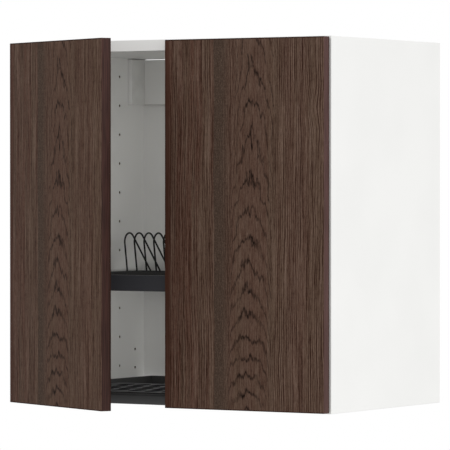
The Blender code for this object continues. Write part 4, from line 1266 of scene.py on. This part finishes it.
def make_camera():
    camera = link(bpy.data.objects.new("photo_camera", bpy.data.cameras.new("photo_camera")))
    camera.data.sensor_width = SENSOR
    camera.data.lens = SENSOR * FOCAL_PIXELS / PHOTO_WIDTH
    camera.data.clip_start = NEAREST
    camera.data.clip_end = FARTHEST
    camera.location = CAMERA_PLACE
    camera.rotation_euler = (math.radians(90 - CAMERA_PITCH), 0, math.radians(CAMERA_YAW))
    bpy.context.scene.camera = camera


def make_world():
    """White to the camera, and a weaker even light to everything else."""
    world = bpy.data.worlds.new("studio")
    bpy.context.scene.world = world
    g = Graph(world)
    sky = g.node("Background", {"Color": WHITE, "Strength": SKY_STRENGTH})
    backdrop = g.node("Background", {"Color": WHITE, "Strength": 1.0})
    g.choose(g.node("LightPath", {}).outputs["Is Camera Ray"], sky, backdrop, "World Output")


def make_light(kind, name, place, aim, strength):
    data = bpy.data.lights.new(name, kind)
    data.energy = strength
    light = link(bpy.data.objects.new(name, data))
    light.location = place
    light.rotation_euler = (Vector(aim) - Vector(place)).to_track_quat("-Z", "Y").to_euler()
    return light


def make_stage():
    """A floor, an even light from the right, two soft ones in front and two small ones inside the cabinet."""
    shape = bmesh.new()
    bmesh.ops.create_grid(shape, x_segments=1, y_segments=1, size=FLOOR_SIZE / 2)
    floor = thing_from(shape, "studio_floor", floor_material())
    floor.location = (0, 0, cad_low.z - FLOOR_DROP)
    sun = make_light("SUN", "right_light", RIGHT_PLACE, LIGHT_AIM, RIGHT_STRENGTH)
    sun.data.angle = math.radians(RIGHT_SPREAD)
    for name, place, power in SOFT_LIGHTS:
        make_light("AREA", name, place, LIGHT_AIM, power).data.size = SOFT_LIGHT_SIZE
    for name, level, height, power in FILL_LAMPS:
        fill = make_light("AREA", name, (*FILL_PLACE, level), (*FILL_AIM, level), power)
        fill.data.color = FILL_TINT
        fill.data.shape = "RECTANGLE"
        fill.data.size = FILL_WIDTH
        fill.data.size_y = height
        fill.visible_glossy = False


def main():
    bpy.context.scene.view_settings.view_transform = "Standard"
    make_camera()
    make_world()
    make_stage()
    veneer = veneer_material()
    # Each door's band is tinted apart: painted shade on the left door, painted light on the right
    for side, tints in BAND_TINTS_LIT_AND_SHADED.items():
        make_door(side, veneer, band_material(f"door_edge_band_painted_light_{side}", *tints))
    repaint(side_material(), "side_panel_left", "side_panel_right")
    repaint(board_material("white_melamine", WHITE_TINT), "top_panel")
    repaint(board_material("white_back_board", BACK_TINT, 0.5), "back_panel")
    repaint(rail_material(), "back_rail")
    # One white plastic for the covers: darker sides as painted shade, a lighter front as painted light
    white_plastic = plastic_material("white_plastic", COVER_SHADED_TINT, 0.4)
    lit_front_plastic = plastic_material("cover_front_painted_light_plastic", BACK_TINT, 0.4)
    nickel = metal_material("nickel_plate", NICKEL_TINT, 0.28)
    # Painted shade for the recesses in screw heads
    recess = metal_material("screw_recess_painted_shade", RECESS_SHADE_TINT, 0.5)
    pad = plastic_material("soft_pad", PAD_TINT, 0.3, PAD_GRAIN_SCALE)
    coat = metal_material("anthracite_coat", COAT_TINT, 0.36, 0.0, POWDER_SCALE)
    # The anthracite coat darkened as painted shade, for the parts at the rear of the rack
    shaded_coat = metal_material("anthracite_coat_painted_shade", SHADED_COAT_TINT, 0.55, 0.0, POWDER_SCALE)
    dark_plastic = plastic_material("anthracite_plastic", TRAY_TINT, 0.42)
    zinc = metal_material("zinc_plate", ZINC_TINT, 0.38)
    # The rack brackets take the coat darkened as painted shade
    for name, material in (("suspension", zinc), ("rack", shaded_coat), ("tray", dark_plastic)):
        repaint(material, *(f"{name}_bracket_{side}" for side in SIDES))
    make_rack_rails(coat, shaded_coat)
    make_plate_rack(plastic_material("black_wire_coat", WIRE_TINT, 0.55, WIRE_GRAIN_SCALE))
    make_tray(dark_plastic)
    make_grid(grid_material())
    for side in SIDES:
        make_bumpers(side, pad)
        make_bracket_cover(side, white_plastic, lit_front_plastic)
        for label in HINGE_LEVELS:
            make_hinge_plate(side, label, nickel, recess)
            make_hinge_arm(side, label, nickel, recess)
            make_hinge_link(side, label, nickel)
            make_hinge_cup(side, label, nickel, recess)


main()
